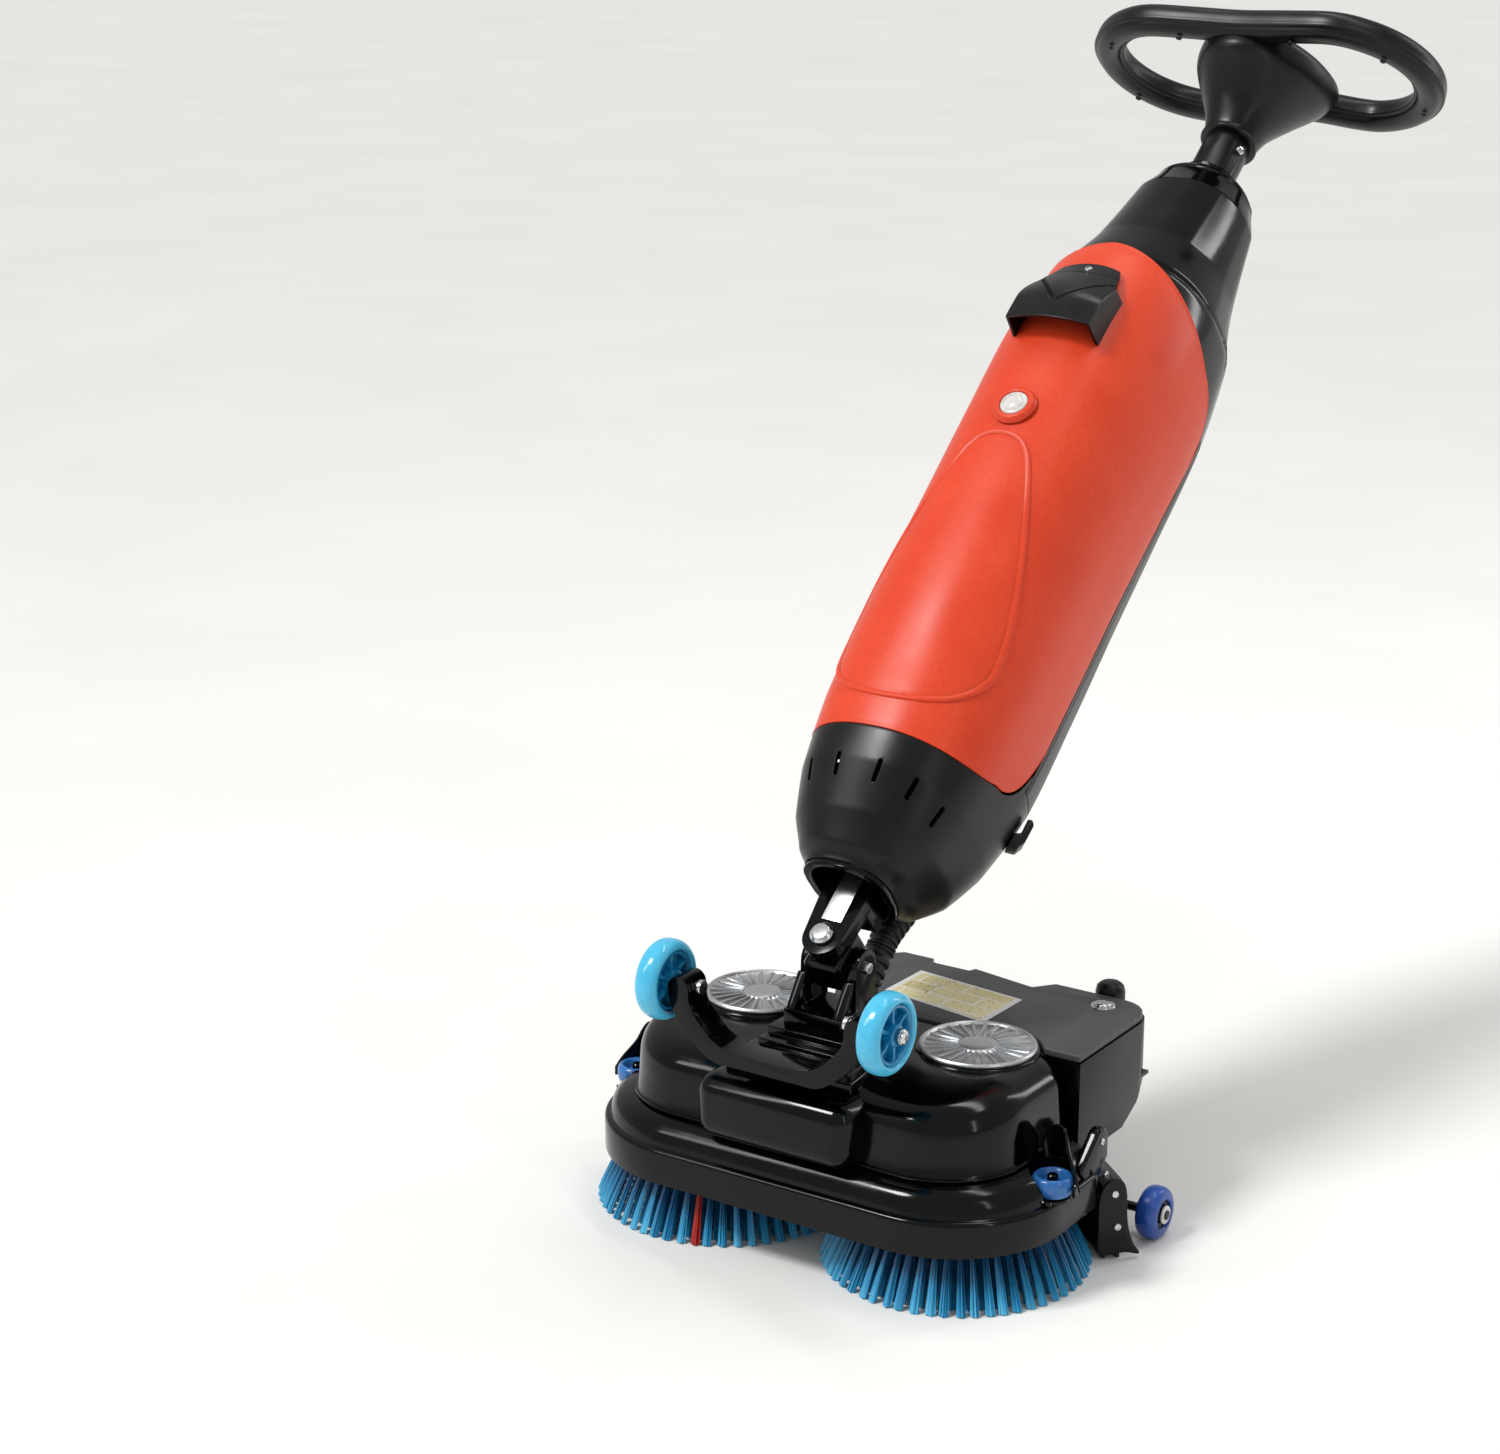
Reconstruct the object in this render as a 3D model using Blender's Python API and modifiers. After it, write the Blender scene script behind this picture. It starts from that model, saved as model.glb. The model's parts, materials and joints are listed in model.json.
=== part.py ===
"""A walk-behind wet dry floor scrubber: two disc brushes, a low deck, a leaning tank body, a loop handle.

The model stands on z = 0 with +Z up. The machine's front is at -Y, and the operator stands at +Y.
All lengths are metres and all angles are degrees unless a name says otherwise.
"""

from math import atan2, cos, pi, radians, sin, sqrt

import bmesh
import bpy
from mathutils import Matrix, Vector

# ---- driving dimensions -------------------------------------------------------------------------
GAP = 0.0004            # between neighbours that touch
WALL = 0.003            # moulded covers
BRUSH_LINE_Y = -0.3530  # the brush axles, so that the whole machine is centred on the origin

BRUSH_X = 0.115         # half the distance between the brush axles
BRUSH_TIP_R = 0.1145
BRUSH_PLATE_R = 0.088
SKIRT_BOTTOM, SKIRT_RIM, SKIRT_TOP = 0.050, 0.081, 0.105
SKIRT_HALF_X, SKIRT_FRONT_Y = 0.2175, -0.112
SHELL_HALF_X, SHELL_FRONT_Y, SHELL_REAR_Y = 0.186, -0.089, 0.0665
SHELL_BASE, SHELL_TOP = 0.1054, 0.172
VENT_X, VENT_Y, VENT_R = 0.108, 0.043, 0.0498
BOX_RIGHT_X, BOX_LEFT_X, BOX_FRONT_Y, BOX_REAR_Y = 0.190, -0.075, 0.070, 0.208
BOX_BOTTOM, BOX_TOP, LID_TOP = 0.080, 0.1655, 0.172

WHEEL_R, WHEEL_WIDTH, WHEEL_OUTER_X = 0.035, 0.023, 0.1185
WHEEL_Y, WHEEL_Z = -0.103, 0.2333
AXLE_R = 0.004
BUMPER_X, BUMPER_Y, BUMPER_R = 0.2075, -0.0060, 0.0175
SQUEEGEE_PIVOT_Y, SQUEEGEE_PIVOT_Z = 0.066, 0.086
SQUEEGEE_ARC_R, SQUEEGEE_REAR_Y = 0.3095, 0.165
GUIDE_X, GUIDE_Y, GUIDE_R = 0.236, 0.125, 0.023

LEAN = 51.4             # of the body, from upright towards the operator
PIN_Y, PIN_Z = -0.03, 0.2715        # the roll pin's cap, the origin of the body frame
PITCH_BEHIND_PIN = 0.040            # the pitch axle lies this far down the roll pin
SEAM_Y = 0.0445         # in the body frame: rear edge of the front tank
GREY_Y = 0.0505         # in the body frame: front edge of the rear tank
TUBE_Y, TUBE_R = -0.012, 0.0224

# Sections of the body in its own frame: height, half width, front y, rear y
BODY_SECTIONS = (
    (0.052, 0.040, -0.034, 0.050),
    (0.065, 0.052, -0.046, 0.072),
    (0.090, 0.067, -0.060, 0.092),
    (0.130, 0.079, -0.076, 0.108),
    (0.200, 0.088, -0.090, 0.120),
    (0.300, 0.089, -0.104, 0.116),
    (0.400, 0.088, -0.112, 0.110),
    (0.500, 0.089, -0.117, 0.103),
    (0.600, 0.090, -0.119, 0.094),
    (0.680, 0.084, -0.106, 0.078),
    (0.740, 0.071, -0.084, 0.058),
    (0.820, 0.061, -0.066, 0.034),
    (0.852, 0.050, -0.054, 0.022),
)
CAP_TOP = 0.852
LID_SCREW = (0.151, 0.184)
KNOB_PLACE = (0.138, 0.2225)
LUG_LOW, LUG_HIGH = 0.1500, 0.1590

# ---- scene --------------------------------------------------------------------------------------
for old in list(bpy.data.objects):
    bpy.data.objects.remove(old, do_unlink=True)

PARTS = bpy.data.collections.new("wet_dry_floor_scrubber")
CUTTERS = bpy.data.collections.new("cutters")
bpy.context.scene.collection.children.link(PARTS)
bpy.context.scene.collection.children.link(CUTTERS)


def empty(name, location, tilt=0.0, parent=None):
    """A frame that pieces are placed in; tilt turns it about X."""
    frame = bpy.data.objects.new(name, None)
    PARTS.objects.link(frame)
    frame.location = location
    frame.rotation_euler = (radians(tilt), 0, 0)
    frame.parent = parent
    return frame


DECK = empty("deck_frame", (0, BRUSH_LINE_Y, 0))
BODY = empty("body_frame", (0, PIN_Y, PIN_Z), -LEAN, DECK)


def material(name, color, roughness, metallic=0.0):
    """One Principled finish."""
    finish = bpy.data.materials.new(name)
    finish.use_nodes = True
    shader = finish.node_tree.nodes["Principled BSDF"]
    shader.inputs["Base Color"].default_value = (*color, 1)
    shader.inputs["Roughness"].default_value = roughness
    shader.inputs["Metallic"].default_value = metallic
    finish.diffuse_color = (*color, 1)
    return finish


BLACK_GLOSS = material("black_gloss_abs", (0.012, 0.012, 0.014), 0.25)
BLACK_SATIN = material("black_satin_abs", (0.02, 0.02, 0.022), 0.45)
RED = material("red_orange_abs", (0.75, 0.065, 0.025), 0.3)
GREY = material("dark_grey_abs", (0.07, 0.07, 0.072), 0.4)
SILVER = material("cast_aluminium", (0.55, 0.55, 0.56), 0.35, 1.0)
STEEL = material("zinc_plated_steel", (0.6, 0.6, 0.6), 0.25, 1.0)
BRISTLE = material("teal_blue_nylon", (0.025, 0.22, 0.42), 0.5)
TYRE_BLUE = material("light_blue_polyurethane", (0.11, 0.53, 0.75), 0.3)
HUB_BLUE = material("blue_nylon", (0.013, 0.24, 0.47), 0.3)
ROLLER_BLUE = material("dark_blue_polyurethane", (0.013, 0.08, 0.35), 0.35)
RUBBER = material("black_rubber", (0.03, 0.03, 0.03), 0.7)
WHITE = material("silver_white_cap", (0.7, 0.7, 0.7), 0.3)
GREEN = material("green_circuit_board", (0.02, 0.2, 0.06), 0.5)


# ---- makers -------------------------------------------------------------------------------------
def piece(name, mesh, finish, parent=DECK, location=(0, 0, 0), turn=(0, 0, 0), smooth=True):
    """A named object with one material, placed in its parent frame."""
    obj = bpy.data.objects.new(name, mesh)
    PARTS.objects.link(obj)
    obj.parent = parent
    obj.location = location
    obj.rotation_euler = [radians(angle) for angle in turn]
    mesh.materials.clear()
    mesh.materials.append(finish)
    if smooth:
        mesh.shade_smooth()
        mesh.set_sharp_from_angle(angle=radians(35))
    return obj


def as_tool(obj):
    """Turn a piece into a cutter or a guide that is not part of the machine."""
    PARTS.objects.unlink(obj)
    CUTTERS.objects.link(obj)
    obj.hide_render = True
    obj.display_type = "WIRE"
    return obj


def combine(target, tools, operation="DIFFERENCE"):
    """Cut the tools from the target, or join them to it."""
    for tool in tools:
        step = target.modifiers.new(operation.lower(), "BOOLEAN")
        step.operation = operation
        step.solver = "EXACT"
        step.object = as_tool(tool)
    return target


def mesh_of(shape, name):
    """The finished mesh of a bmesh, with its faces pointing outwards."""
    bmesh.ops.recalc_face_normals(shape, faces=shape.faces)
    mesh = bpy.data.meshes.new(name)
    shape.to_mesh(mesh)
    shape.free()
    return mesh


def box_mesh(low, high, name="box"):
    """A box between two corners."""
    shape = bmesh.new()
    bmesh.ops.create_cube(shape, size=1)
    low, high = Vector(low), Vector(high)
    bmesh.ops.scale(shape, vec=high - low, verts=shape.verts)
    bmesh.ops.translate(shape, vec=(low + high) / 2, verts=shape.verts)
    return mesh_of(shape, name)


def box(name, low, high, finish, parent=DECK, bevel=0.0, segments=2, **place):
    """A box piece, with rounded edges where asked."""
    obj = piece(name, box_mesh(low, high, name), finish, parent, **place)
    if bevel:
        rounding = obj.modifiers.new("rounding", "BEVEL")
        rounding.width = bevel
        rounding.segments = segments
    return obj


def rod_mesh(radius, length, segments=24, axis="Z", end_radius=None):
    """A rod or cone along an axis, centred on the origin."""
    shape = bmesh.new()
    top = radius if end_radius is None else end_radius
    bmesh.ops.create_cone(
        shape, cap_ends=True, segments=segments, radius1=radius, radius2=top, depth=length
    )
    if axis == "X":
        bmesh.ops.rotate(shape, matrix=Matrix.Rotation(pi / 2, 3, "Y"), verts=shape.verts)
    if axis == "Y":
        bmesh.ops.rotate(shape, matrix=Matrix.Rotation(-pi / 2, 3, "X"), verts=shape.verts)
    return mesh_of(shape, "rod")


def rod(name, radius, length, finish, location, axis="Z", parent=DECK, segments=24, end_radius=None):
    """A rod piece centred on its location."""
    return piece(name, rod_mesh(radius, length, segments, axis, end_radius), finish, parent, location)


def turned(name, profile, finish, location=(0, 0, 0), axis="Z", parent=DECK, steps=24):
    """A profile of (radius, height) points turned about an axis. A Screw needs it to run down its outer side."""
    profile = list(profile)
    area = sum(a[0] * b[1] - b[0] * a[1] for a, b in zip(profile, profile[1:] + profile[:1]))
    if area > 0:
        profile.reverse()
    shape = bmesh.new()
    points = [shape.verts.new((radius, 0, height)) for radius, height in profile]
    for first, second in zip(points, points[1:]):
        shape.edges.new((first, second))
    if profile[0][0] > 0:
        shape.edges.new((points[-1], points[0]))
    mesh = bpy.data.meshes.new(name)
    shape.to_mesh(mesh)
    shape.free()
    turn = {"X": (0, 90, 0), "Y": (-90, 0, 0), "Z": (0, 0, 0)}[axis]
    obj = piece(name, mesh, finish, parent, location, turn, smooth=False)
    screw = obj.modifiers.new("turning", "SCREW")
    screw.steps = steps
    screw.render_steps = steps
    screw.use_merge_vertices = True
    screw.merge_threshold = 0.00001
    screw.use_smooth_shade = True
    return obj


def curve_mesh(curve, name):
    """The mesh of a curve, with its caps welded to its sides."""
    holder = bpy.data.objects.new(name, curve)
    CUTTERS.objects.link(holder)
    bpy.context.view_layer.update()
    evaluated = holder.evaluated_get(bpy.context.evaluated_depsgraph_get())
    mesh = bpy.data.meshes.new_from_object(evaluated)
    bpy.data.objects.remove(holder, do_unlink=True)
    shape = bmesh.new()
    shape.from_mesh(mesh)
    bmesh.ops.remove_doubles(shape, verts=shape.verts, dist=0.00001)
    return mesh_of(shape, name)


def plate_mesh(outlines, low, high, name="plate"):
    """A flat sheet with the given closed outlines, between two heights."""
    curve = bpy.data.curves.new(name, "CURVE")
    curve.dimensions = "2D"
    curve.fill_mode = "BOTH"
    curve.extrude = (high - low) / 2
    for outline in outlines:
        spline = curve.splines.new("POLY")
        spline.points.add(len(outline) - 1)
        for point, (x, y) in zip(spline.points, outline):
            point.co = (x, y, 0, 1)
        spline.use_cyclic_u = True
    mesh = curve_mesh(curve, name)
    mesh.transform(Matrix.Translation((0, 0, (low + high) / 2)))
    return mesh


def plate(name, outlines, low, high, finish, parent=DECK, **place):
    """A flat sheet piece."""
    return piece(name, plate_mesh(outlines, low, high, name), finish, parent, **place)


def side_plate_mesh(outline, low_x, high_x):
    """A flat sheet whose outline is in Y and Z, between two places on X."""
    mesh = plate_mesh([outline], low_x, high_x)
    mesh.transform(Matrix(((0, 0, 1, 0), (1, 0, 0, 0), (0, 1, 0, 0), (0, 0, 0, 1))))
    return mesh


def tube(name, route, radius, finish, parent=DECK, sides=2):
    """A round bar along a route of points."""
    curve = bpy.data.curves.new(name, "CURVE")
    curve.dimensions = "3D"
    curve.bevel_depth = radius
    curve.bevel_resolution = sides
    curve.use_fill_caps = True
    spline = curve.splines.new("POLY")
    spline.points.add(len(route) - 1)
    for point, place in zip(spline.points, route):
        point.co = (*place, 1)
    return piece(name, curve_mesh(curve, name), finish, parent)


def skin(rows, closed=True, capped=False):
    """Faces between rows of points; closed rows are rings, and capped rings make a solid."""
    shape = bmesh.new()
    lines = [[shape.verts.new(point) for point in row] for row in rows]
    for lower, upper in zip(lines, lines[1:]):
        for i in range(0 if closed else 1, len(lower)):
            shape.faces.new((lower[i - 1], lower[i], upper[i], upper[i - 1]))
    if capped:
        shape.faces.new(lines[0])
        shape.faces.new(lines[-1])
    return shape


def loft(name, rows, finish, parent=DECK, wall=0.0, closed=True):
    """A solid through rings, or a shell whose wall is laid inside an open surface."""
    shape = skin(rows, closed, capped=not wall)
    if wall:
        mesh = bpy.data.meshes.new(name)
        shape.to_mesh(mesh)
        shape.free()
    else:
        mesh = mesh_of(shape, name)
    obj = piece(name, mesh, finish, parent)
    if wall:
        thickness = obj.modifiers.new("wall", "SOLIDIFY")
        thickness.thickness = wall
        thickness.offset = -1
        thickness.use_even_offset = True
    return obj


def arc(center, radius, start, end, count):
    """Points along an arc in a plane, angles in degrees."""
    x, y = center
    steps = [start + (end - start) * i / (count - 1) for i in range(count)]
    return [(x + radius * cos(radians(a)), y + radius * sin(radians(a))) for a in steps]


def rounded_outline(half_x, front, rear, front_radius, rear_radius, count=6):
    """A rectangle with round corners, anticlockwise, symmetric about X = 0."""
    fr, rr = front_radius, rear_radius
    return (
        arc((half_x - fr, front + fr), fr, -90, 0, count)
        + arc((half_x - rr, rear - rr), rr, 0, 90, count)
        + arc((rr - half_x, rear - rr), rr, 90, 180, count)
        + arc((fr - half_x, front + fr), fr, 180, 270, count)
    )


def smooth_between(stations, height):
    """Values at a height, from a smooth curve through rows that start with their heights."""
    last = len(stations) - 1
    k = max(i for i in range(last) if stations[i][0] <= height or i == 0)
    before, low, high, after = (stations[min(max(k + i, 0), last)] for i in (-1, 0, 1, 2))
    f = (height - low[0]) / (high[0] - low[0])
    values = []
    for a, b, c, d in zip(before[1:], low[1:], high[1:], after[1:]):
        values.append(
            0.5 * (2 * b + (c - a) * f + (2 * a - 5 * b + 4 * c - d) * f**2 + (3 * b - a - 3 * c + d) * f**3)
        )
    return values


# ---- deck ---------------------------------------------------------------------------------------
def level(outline, height):
    """An outline laid flat at a height."""
    return [(x, y, height) for x, y in outline]


def skirt_ring(height, inset):
    return level(
        rounded_outline(
            SKIRT_HALF_X - inset, SKIRT_FRONT_Y + inset, 0.112 - inset, 0.092 - inset, 0.092 - inset
        ),
        height,
    )


def make_skirt():
    """The splash skirt round the brushes: open at the rear, with an ear that carries each squeegee arm."""
    steps = ((SKIRT_BOTTOM, 0), (0.078, 0), (SKIRT_RIM, 0.004), (0.092, 0.007), (0.100, 0.014))
    rows = [skirt_ring(height, inset) for height, inset in steps]
    rows.append(skirt_ring(SKIRT_TOP, 0.034))
    skirt = loft("skirt", rows, BLACK_GLOSS, wall=WALL)
    combine(skirt, [box("skirt_rear_cut", (-0.3, 0.055, 0.03), (0.3, 0.2, 0.12), BLACK_GLOSS)])
    ears, pockets = [], []
    for side in (-1, 1):
        pocket_place = (side * BUMPER_X, BUMPER_Y, 0.1075)
        pockets.append(rod("pocket", BUMPER_R + 0.002, 0.05, BLACK_GLOSS, pocket_place))
        ear = [(0.040, 0.088), (0.052, 0.060), (0.066, 0.074), (0.078, 0.088)]
        ear += arc((SQUEEGEE_PIVOT_Y, 0.104), 0.012, 0, 150, 6)
        mesh = side_plate_mesh(ear, 0.2045, 0.2145)
        if side < 0:
            mesh.transform(Matrix.Scale(-1, 4, (1, 0, 0)))
            mesh.flip_normals()
        ears.append(piece("ear", mesh, BLACK_GLOSS))
    combine(skirt, pockets)
    combine(skirt, ears, "UNION")
    bores = [
        rod("ear_bore", 0.0044, 0.02, BLACK_GLOSS, (side * 0.2095, SQUEEGEE_PIVOT_Y, SQUEEGEE_PIVOT_Z), "X")
        for side in (-1, 1)
    ]
    combine(skirt, bores)
    floors = []
    for side in (-1, 1):
        floor_place = (side * (BUMPER_X - 0.008), BUMPER_Y, 0.0812)
        floors.append(rod("pocket_floor", 0.0150, 0.0025, BLACK_GLOSS, floor_place))
        floors.append(rod("bumper_stud", 0.0045, 0.020, BLACK_GLOSS, (side * BUMPER_X, BUMPER_Y, 0.0908)))
    return combine(skirt, floors, "UNION")


def make_deck_plate():
    """The pressed plate that the drives stand on."""
    outline = rounded_outline(0.186, -0.089, 0.0660, 0.075, 0.02)
    holes = [arc((side * BRUSH_X, 0), 0.017, 0, 345, 24) for side in (-1, 1)]
    return plate("deck_plate", [outline, *holes], 0.0888, 0.0928, STEEL)


def shell_ring(height, inset):
    return level(
        rounded_outline(
            SHELL_HALF_X - inset, SHELL_FRONT_Y + inset, SHELL_REAR_Y - min(inset, WALL), 0.076 - inset, 0.02
        ),
        height,
    )


def make_deck_shell():
    """The glossy upper cover, with a round tower over each brush motor and a soft block in front."""
    steps = ((SHELL_BASE, 0), (0.150, 0.004), (0.163, 0.008), (0.169, 0.013), (SHELL_TOP, 0.020))
    shell = loft("deck_shell", [shell_ring(height, inset) for height, inset in steps], BLACK_GLOSS)
    towers = [
        rod("tower", VENT_R + 0.0027, SHELL_TOP - SHELL_BASE, BLACK_GLOSS,
            (side * VENT_X, VENT_Y, (SHELL_TOP + SHELL_BASE) / 2), segments=32)
        for side in (-1, 1)
    ]
    front_block = box("front_block", (-0.074, -0.112, 0.1075), (0.074, -0.080, 0.160), BLACK_GLOSS, bevel=0.011)
    combine(shell, [*towers, front_block], "UNION")
    inner = ((SHELL_BASE - 0.001, WALL), (0.148, 0.004 + WALL), (0.161, 0.009 + WALL), (0.169, 0.018 + WALL))
    hollow = loft("hollow", [shell_ring(height, inset) for height, inset in inner], BLACK_GLOSS)
    hollows = [hollow]
    for side in (-1, 1):
        place = (side * VENT_X, VENT_Y, SHELL_TOP - WALL - 0.034)
        hollows.append(rod("tower_hollow", VENT_R, 0.068, BLACK_GLOSS, place, segments=32))
        hollows.append(rod("vent_hole", 0.041, 0.02, BLACK_GLOSS, (side * VENT_X, VENT_Y, SHELL_TOP), segments=24))
    return combine(shell, hollows)


def make_drives():
    """A motor and a gearbox for each brush, under a finned vent cap."""
    for side, hand in ((-1, "left"), (1, "right")):
        x = side * (VENT_X + BRUSH_X) / 2
        outline = arc((x, 0), 0.030, 180, 360, 13) + arc((x, VENT_Y - 0.010), 0.030, 0, 180, 13)
        plate("gearbox_" + hand, [outline], 0.0934, 0.108, SILVER)
        body = ((0, 0.1084), (0.034, 0.1084), (0.036, 0.112), (0.036, 0.156), (0.030, 0.160), (0.012, 0.160))
        profile = body + ((0.012, 0.166), (0, 0.166))
        turned("motor_" + hand, profile, STEEL, (side * VENT_X, VENT_Y - 0.002, 0))
        cap = ((0, 0.1695), (0.0375, 0.1695), (0.0385, 0.1724), (VENT_R, 0.1724), (VENT_R, 0.1750))
        cap += ((0.0478, 0.1764), (0.0455, 0.1752), (0.016, 0.1745), (0.013, 0.1768), (0, 0.1768))
        turned("vent_cap_" + hand, cap, SILVER, (side * VENT_X, VENT_Y, 0), steps=28)


def front_plate_mesh(outline, low_y, high_y):
    """A flat sheet whose outline is in X and Z, between two places on Y."""
    mesh = plate_mesh([outline], -high_y, -low_y)
    mesh.transform(Matrix(((1, 0, 0, 0), (0, 0, -1, 0), (0, 1, 0, 0), (0, 0, 0, 1))))
    return mesh


def mirrored(half):
    """An outline from its right half, which runs from its lowest point to its highest."""
    return list(half) + [(-x, z) for x, z in reversed(half) if x > 0]


def make_wheel_carrier():
    """The front casting whose two arms sweep out and up to the transport wheels, and its axle bolts."""
    arm = [(0.048, 0.1764), (0.074, 0.194), (0.090, 0.214)]
    arm += arc((0.0855, WHEEL_Z), 0.0095, -20, 180, 9)
    arm += [(0.074, 0.222), (0.064, 0.207), (0.042, 0.189)]
    bracket = piece("wheel_bracket", front_plate_mesh(mirrored(arm), -0.116, -0.090), BLACK_GLOSS, smooth=False)
    bores = [
        rod("axle_bore", AXLE_R + 0.0003, 0.04, BLACK_GLOSS, (side * 0.085, WHEEL_Y, WHEEL_Z), "X", segments=16)
        for side in (-1, 1)
    ]
    combine(bracket, bores)
    for side, hand in ((-1, "left"), (1, "right")):
        profile = ((0, 0.0690), (0.0065, 0.0690), (0.0065, 0.0730), (AXLE_R, 0.0730), (AXLE_R, 0.1190))
        profile += ((0.0068, 0.1190), (0.0068, 0.1225), (0, 0.1225))
        bolt = turned("wheel_axle_" + hand, profile, STEEL, (0, WHEEL_Y, WHEEL_Z), "X", steps=16)
        if side < 0:
            bolt.rotation_euler = (0, radians(-90), 0)


def make_neck_base():
    """The stepped foot, and the column whose two cheeks carry the pitch pin."""
    steps = [(-0.0896, 0.1724), (0.014, 0.1724), (0.014, 0.190), (-0.052, 0.190), (-0.052, 0.184)]
    steps += [(-0.066, 0.184), (-0.066, 0.1795), (-0.0896, 0.1795)]
    piece("column_base_plate", side_plate_mesh(steps, -0.040, 0.040), BLACK_GLOSS, smooth=False)
    y, z = pitch_axis()
    column = box("neck_column", (-0.0275, -0.0460, 0.1904), (0.0275, 0.0065, 0.2060), BLACK_GLOSS)
    cheeks = []
    for side in (-1, 1):
        outline = [(-0.0215, 0.200), (0.0065, 0.200), (y + 0.0155, z)] + arc((y, z), 0.0155, 20, 180, 9)
        low, high = sorted((side * 0.0182, side * 0.0275))
        cheeks.append(piece("cheek", side_plate_mesh(outline, low, high), BLACK_GLOSS))
    combine(column, cheeks, "UNION")
    combine(column, [rod("pitch_bore", 0.0053, 0.08, BLACK_GLOSS, (0, y, z), "X")])
    rod("pitch_pin", 0.0050, 0.062, STEEL, (0, y, z), "X")


def pitch_axis():
    """Where the pitch pin is, in the deck frame."""
    lean = radians(LEAN)
    return PIN_Y + PITCH_BEHIND_PIN * cos(lean), PIN_Z - PITCH_BEHIND_PIN * sin(lean)


def box_outline(inset):
    """The rear box from above: cut back round the right motor tower, with a finger bay in its rear edge."""
    radius = VENT_R + 0.0035 + inset
    left, right = BOX_LEFT_X + inset, BOX_RIGHT_X - inset
    front, rear = BOX_FRONT_Y + inset, BOX_REAR_Y - inset
    reach = sqrt(radius**2 - (front - VENT_Y) ** 2)
    turn = atan2(front - VENT_Y, reach) * 180 / pi
    outline = [(-0.053 + inset, front)] + arc((VENT_X, VENT_Y), radius, 180 - turn, turn, 11)
    outline += [(right, front)] + arc((right - 0.028, rear - 0.028), 0.028, 0, 90, 6)
    outline += [(0.092 + inset / 2, rear), (0.078 + inset / 2, rear - 0.018), (0.010, rear - 0.006)]
    return outline + [(left + 0.015, rear - 0.006), (left, rear - 0.021), (left, front + 0.042)]


def make_battery_box():
    """The box behind the brushes, its battery, and the lid that hinges at the front."""
    tub = plate("battery_box", [box_outline(0)], BOX_BOTTOM, BOX_TOP, BLACK_GLOSS, smooth=False)
    hollow = plate("hollow", [box_outline(WALL)], BOX_BOTTOM + WALL, BOX_TOP + 0.01, BLACK_GLOSS)
    below = [(0.140, 0.0746), (0.23, 0.0746), (0.23, 0.112), (0.190, 0.112), (0.176, 0.094)]
    rear_cut = piece("rear_cut", side_plate_mesh(below, -0.3, 0.3), BLACK_GLOSS)
    floor = [(0.1420, 0.0805), (0.1510, 0.0805), (0.1760, 0.0942), (0.1898, 0.1121), (0.2005, 0.1121)]
    floor += [(0.2005, 0.1150), (0.1880, 0.1150), (0.1745, 0.0972), (0.1490, 0.0833), (0.1420, 0.0833)]
    sloped_floor = piece("sloped_floor", side_plate_mesh(floor, BOX_LEFT_X + 0.001, 0.1885), BLACK_GLOSS)
    combine(tub, [hollow, rear_cut])
    x, y = KNOB_PLACE
    low, high = (x - 0.010, BOX_REAR_Y - 0.002, LUG_LOW), (x + 0.010, y + 0.010, LUG_HIGH)
    lug = box("knob_lug", low, high, BLACK_GLOSS)
    combine(tub, [sloped_floor, lug], "UNION")
    combine(tub, [rod("lug_bore", 0.0063, 0.03, BLACK_GLOSS, (x, y, LUG_LOW))])
    box("battery_pack", (-0.062, 0.1010, 0.0836), (0.166, 0.1410, 0.1560), GREY, bevel=0.003, segments=1)
    lid = plate("battery_lid", [box_outline(0.0015)], BOX_TOP + GAP, LID_TOP, GREY, smooth=False)
    grip = rod("grip_recess", 0.022, 0.02, GREY, (-0.006, BOX_REAR_Y - 0.004, LID_TOP + 0.0065))
    well = rod("screw_well", 0.0085, 0.012, GREY, (*LID_SCREW, LID_TOP + 0.0035))
    combine(lid, [grip, well])
    screw = ((0, 0.1698), (0.0078, 0.1698), (0.0078, 0.1735), (0.0068, 0.1750), (0, 0.1750))
    turned("thumb_screw", screw, STEEL, (*LID_SCREW, 0), steps=20)
    knob = ((0, 0.146), (0.006, 0.146), (0.006, 0.1615), (0.0132, 0.1620), (0.0132, 0.1700))
    knob += ((0.0118, 0.1755), (0.0080, 0.1785), (0, 0.1792))
    turned("adjuster_knob", knob, BLACK_SATIN, (*KNOB_PLACE, 0), steps=20)


def make_brushes():
    """Each brush is a moulded block with a drive hub, filled with flared tufts."""
    for side, hand in ((-1, "left"), (1, "right")):
        block = ((0, 0.0520), (BRUSH_PLATE_R, 0.0520), (BRUSH_PLATE_R, 0.0600), (0.078, 0.0640), (0.018, 0.0640))
        block += ((0.013, 0.0700), (0.013, 0.0928), (0, 0.0928))
        turned(f"brush_{hand}_block", block, BLACK_SATIN, (side * BRUSH_X, 0, 0))
        tufts = ((0.030, 0.0516), (0.030, 0), (BRUSH_TIP_R, 0), (0.109, 0.018), (0.099, 0.036), (0.0875, 0.0516))
        turned(f"brush_{hand}_bristles", tufts, BRISTLE, (side * BRUSH_X, 0, 0), steps=32)


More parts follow.
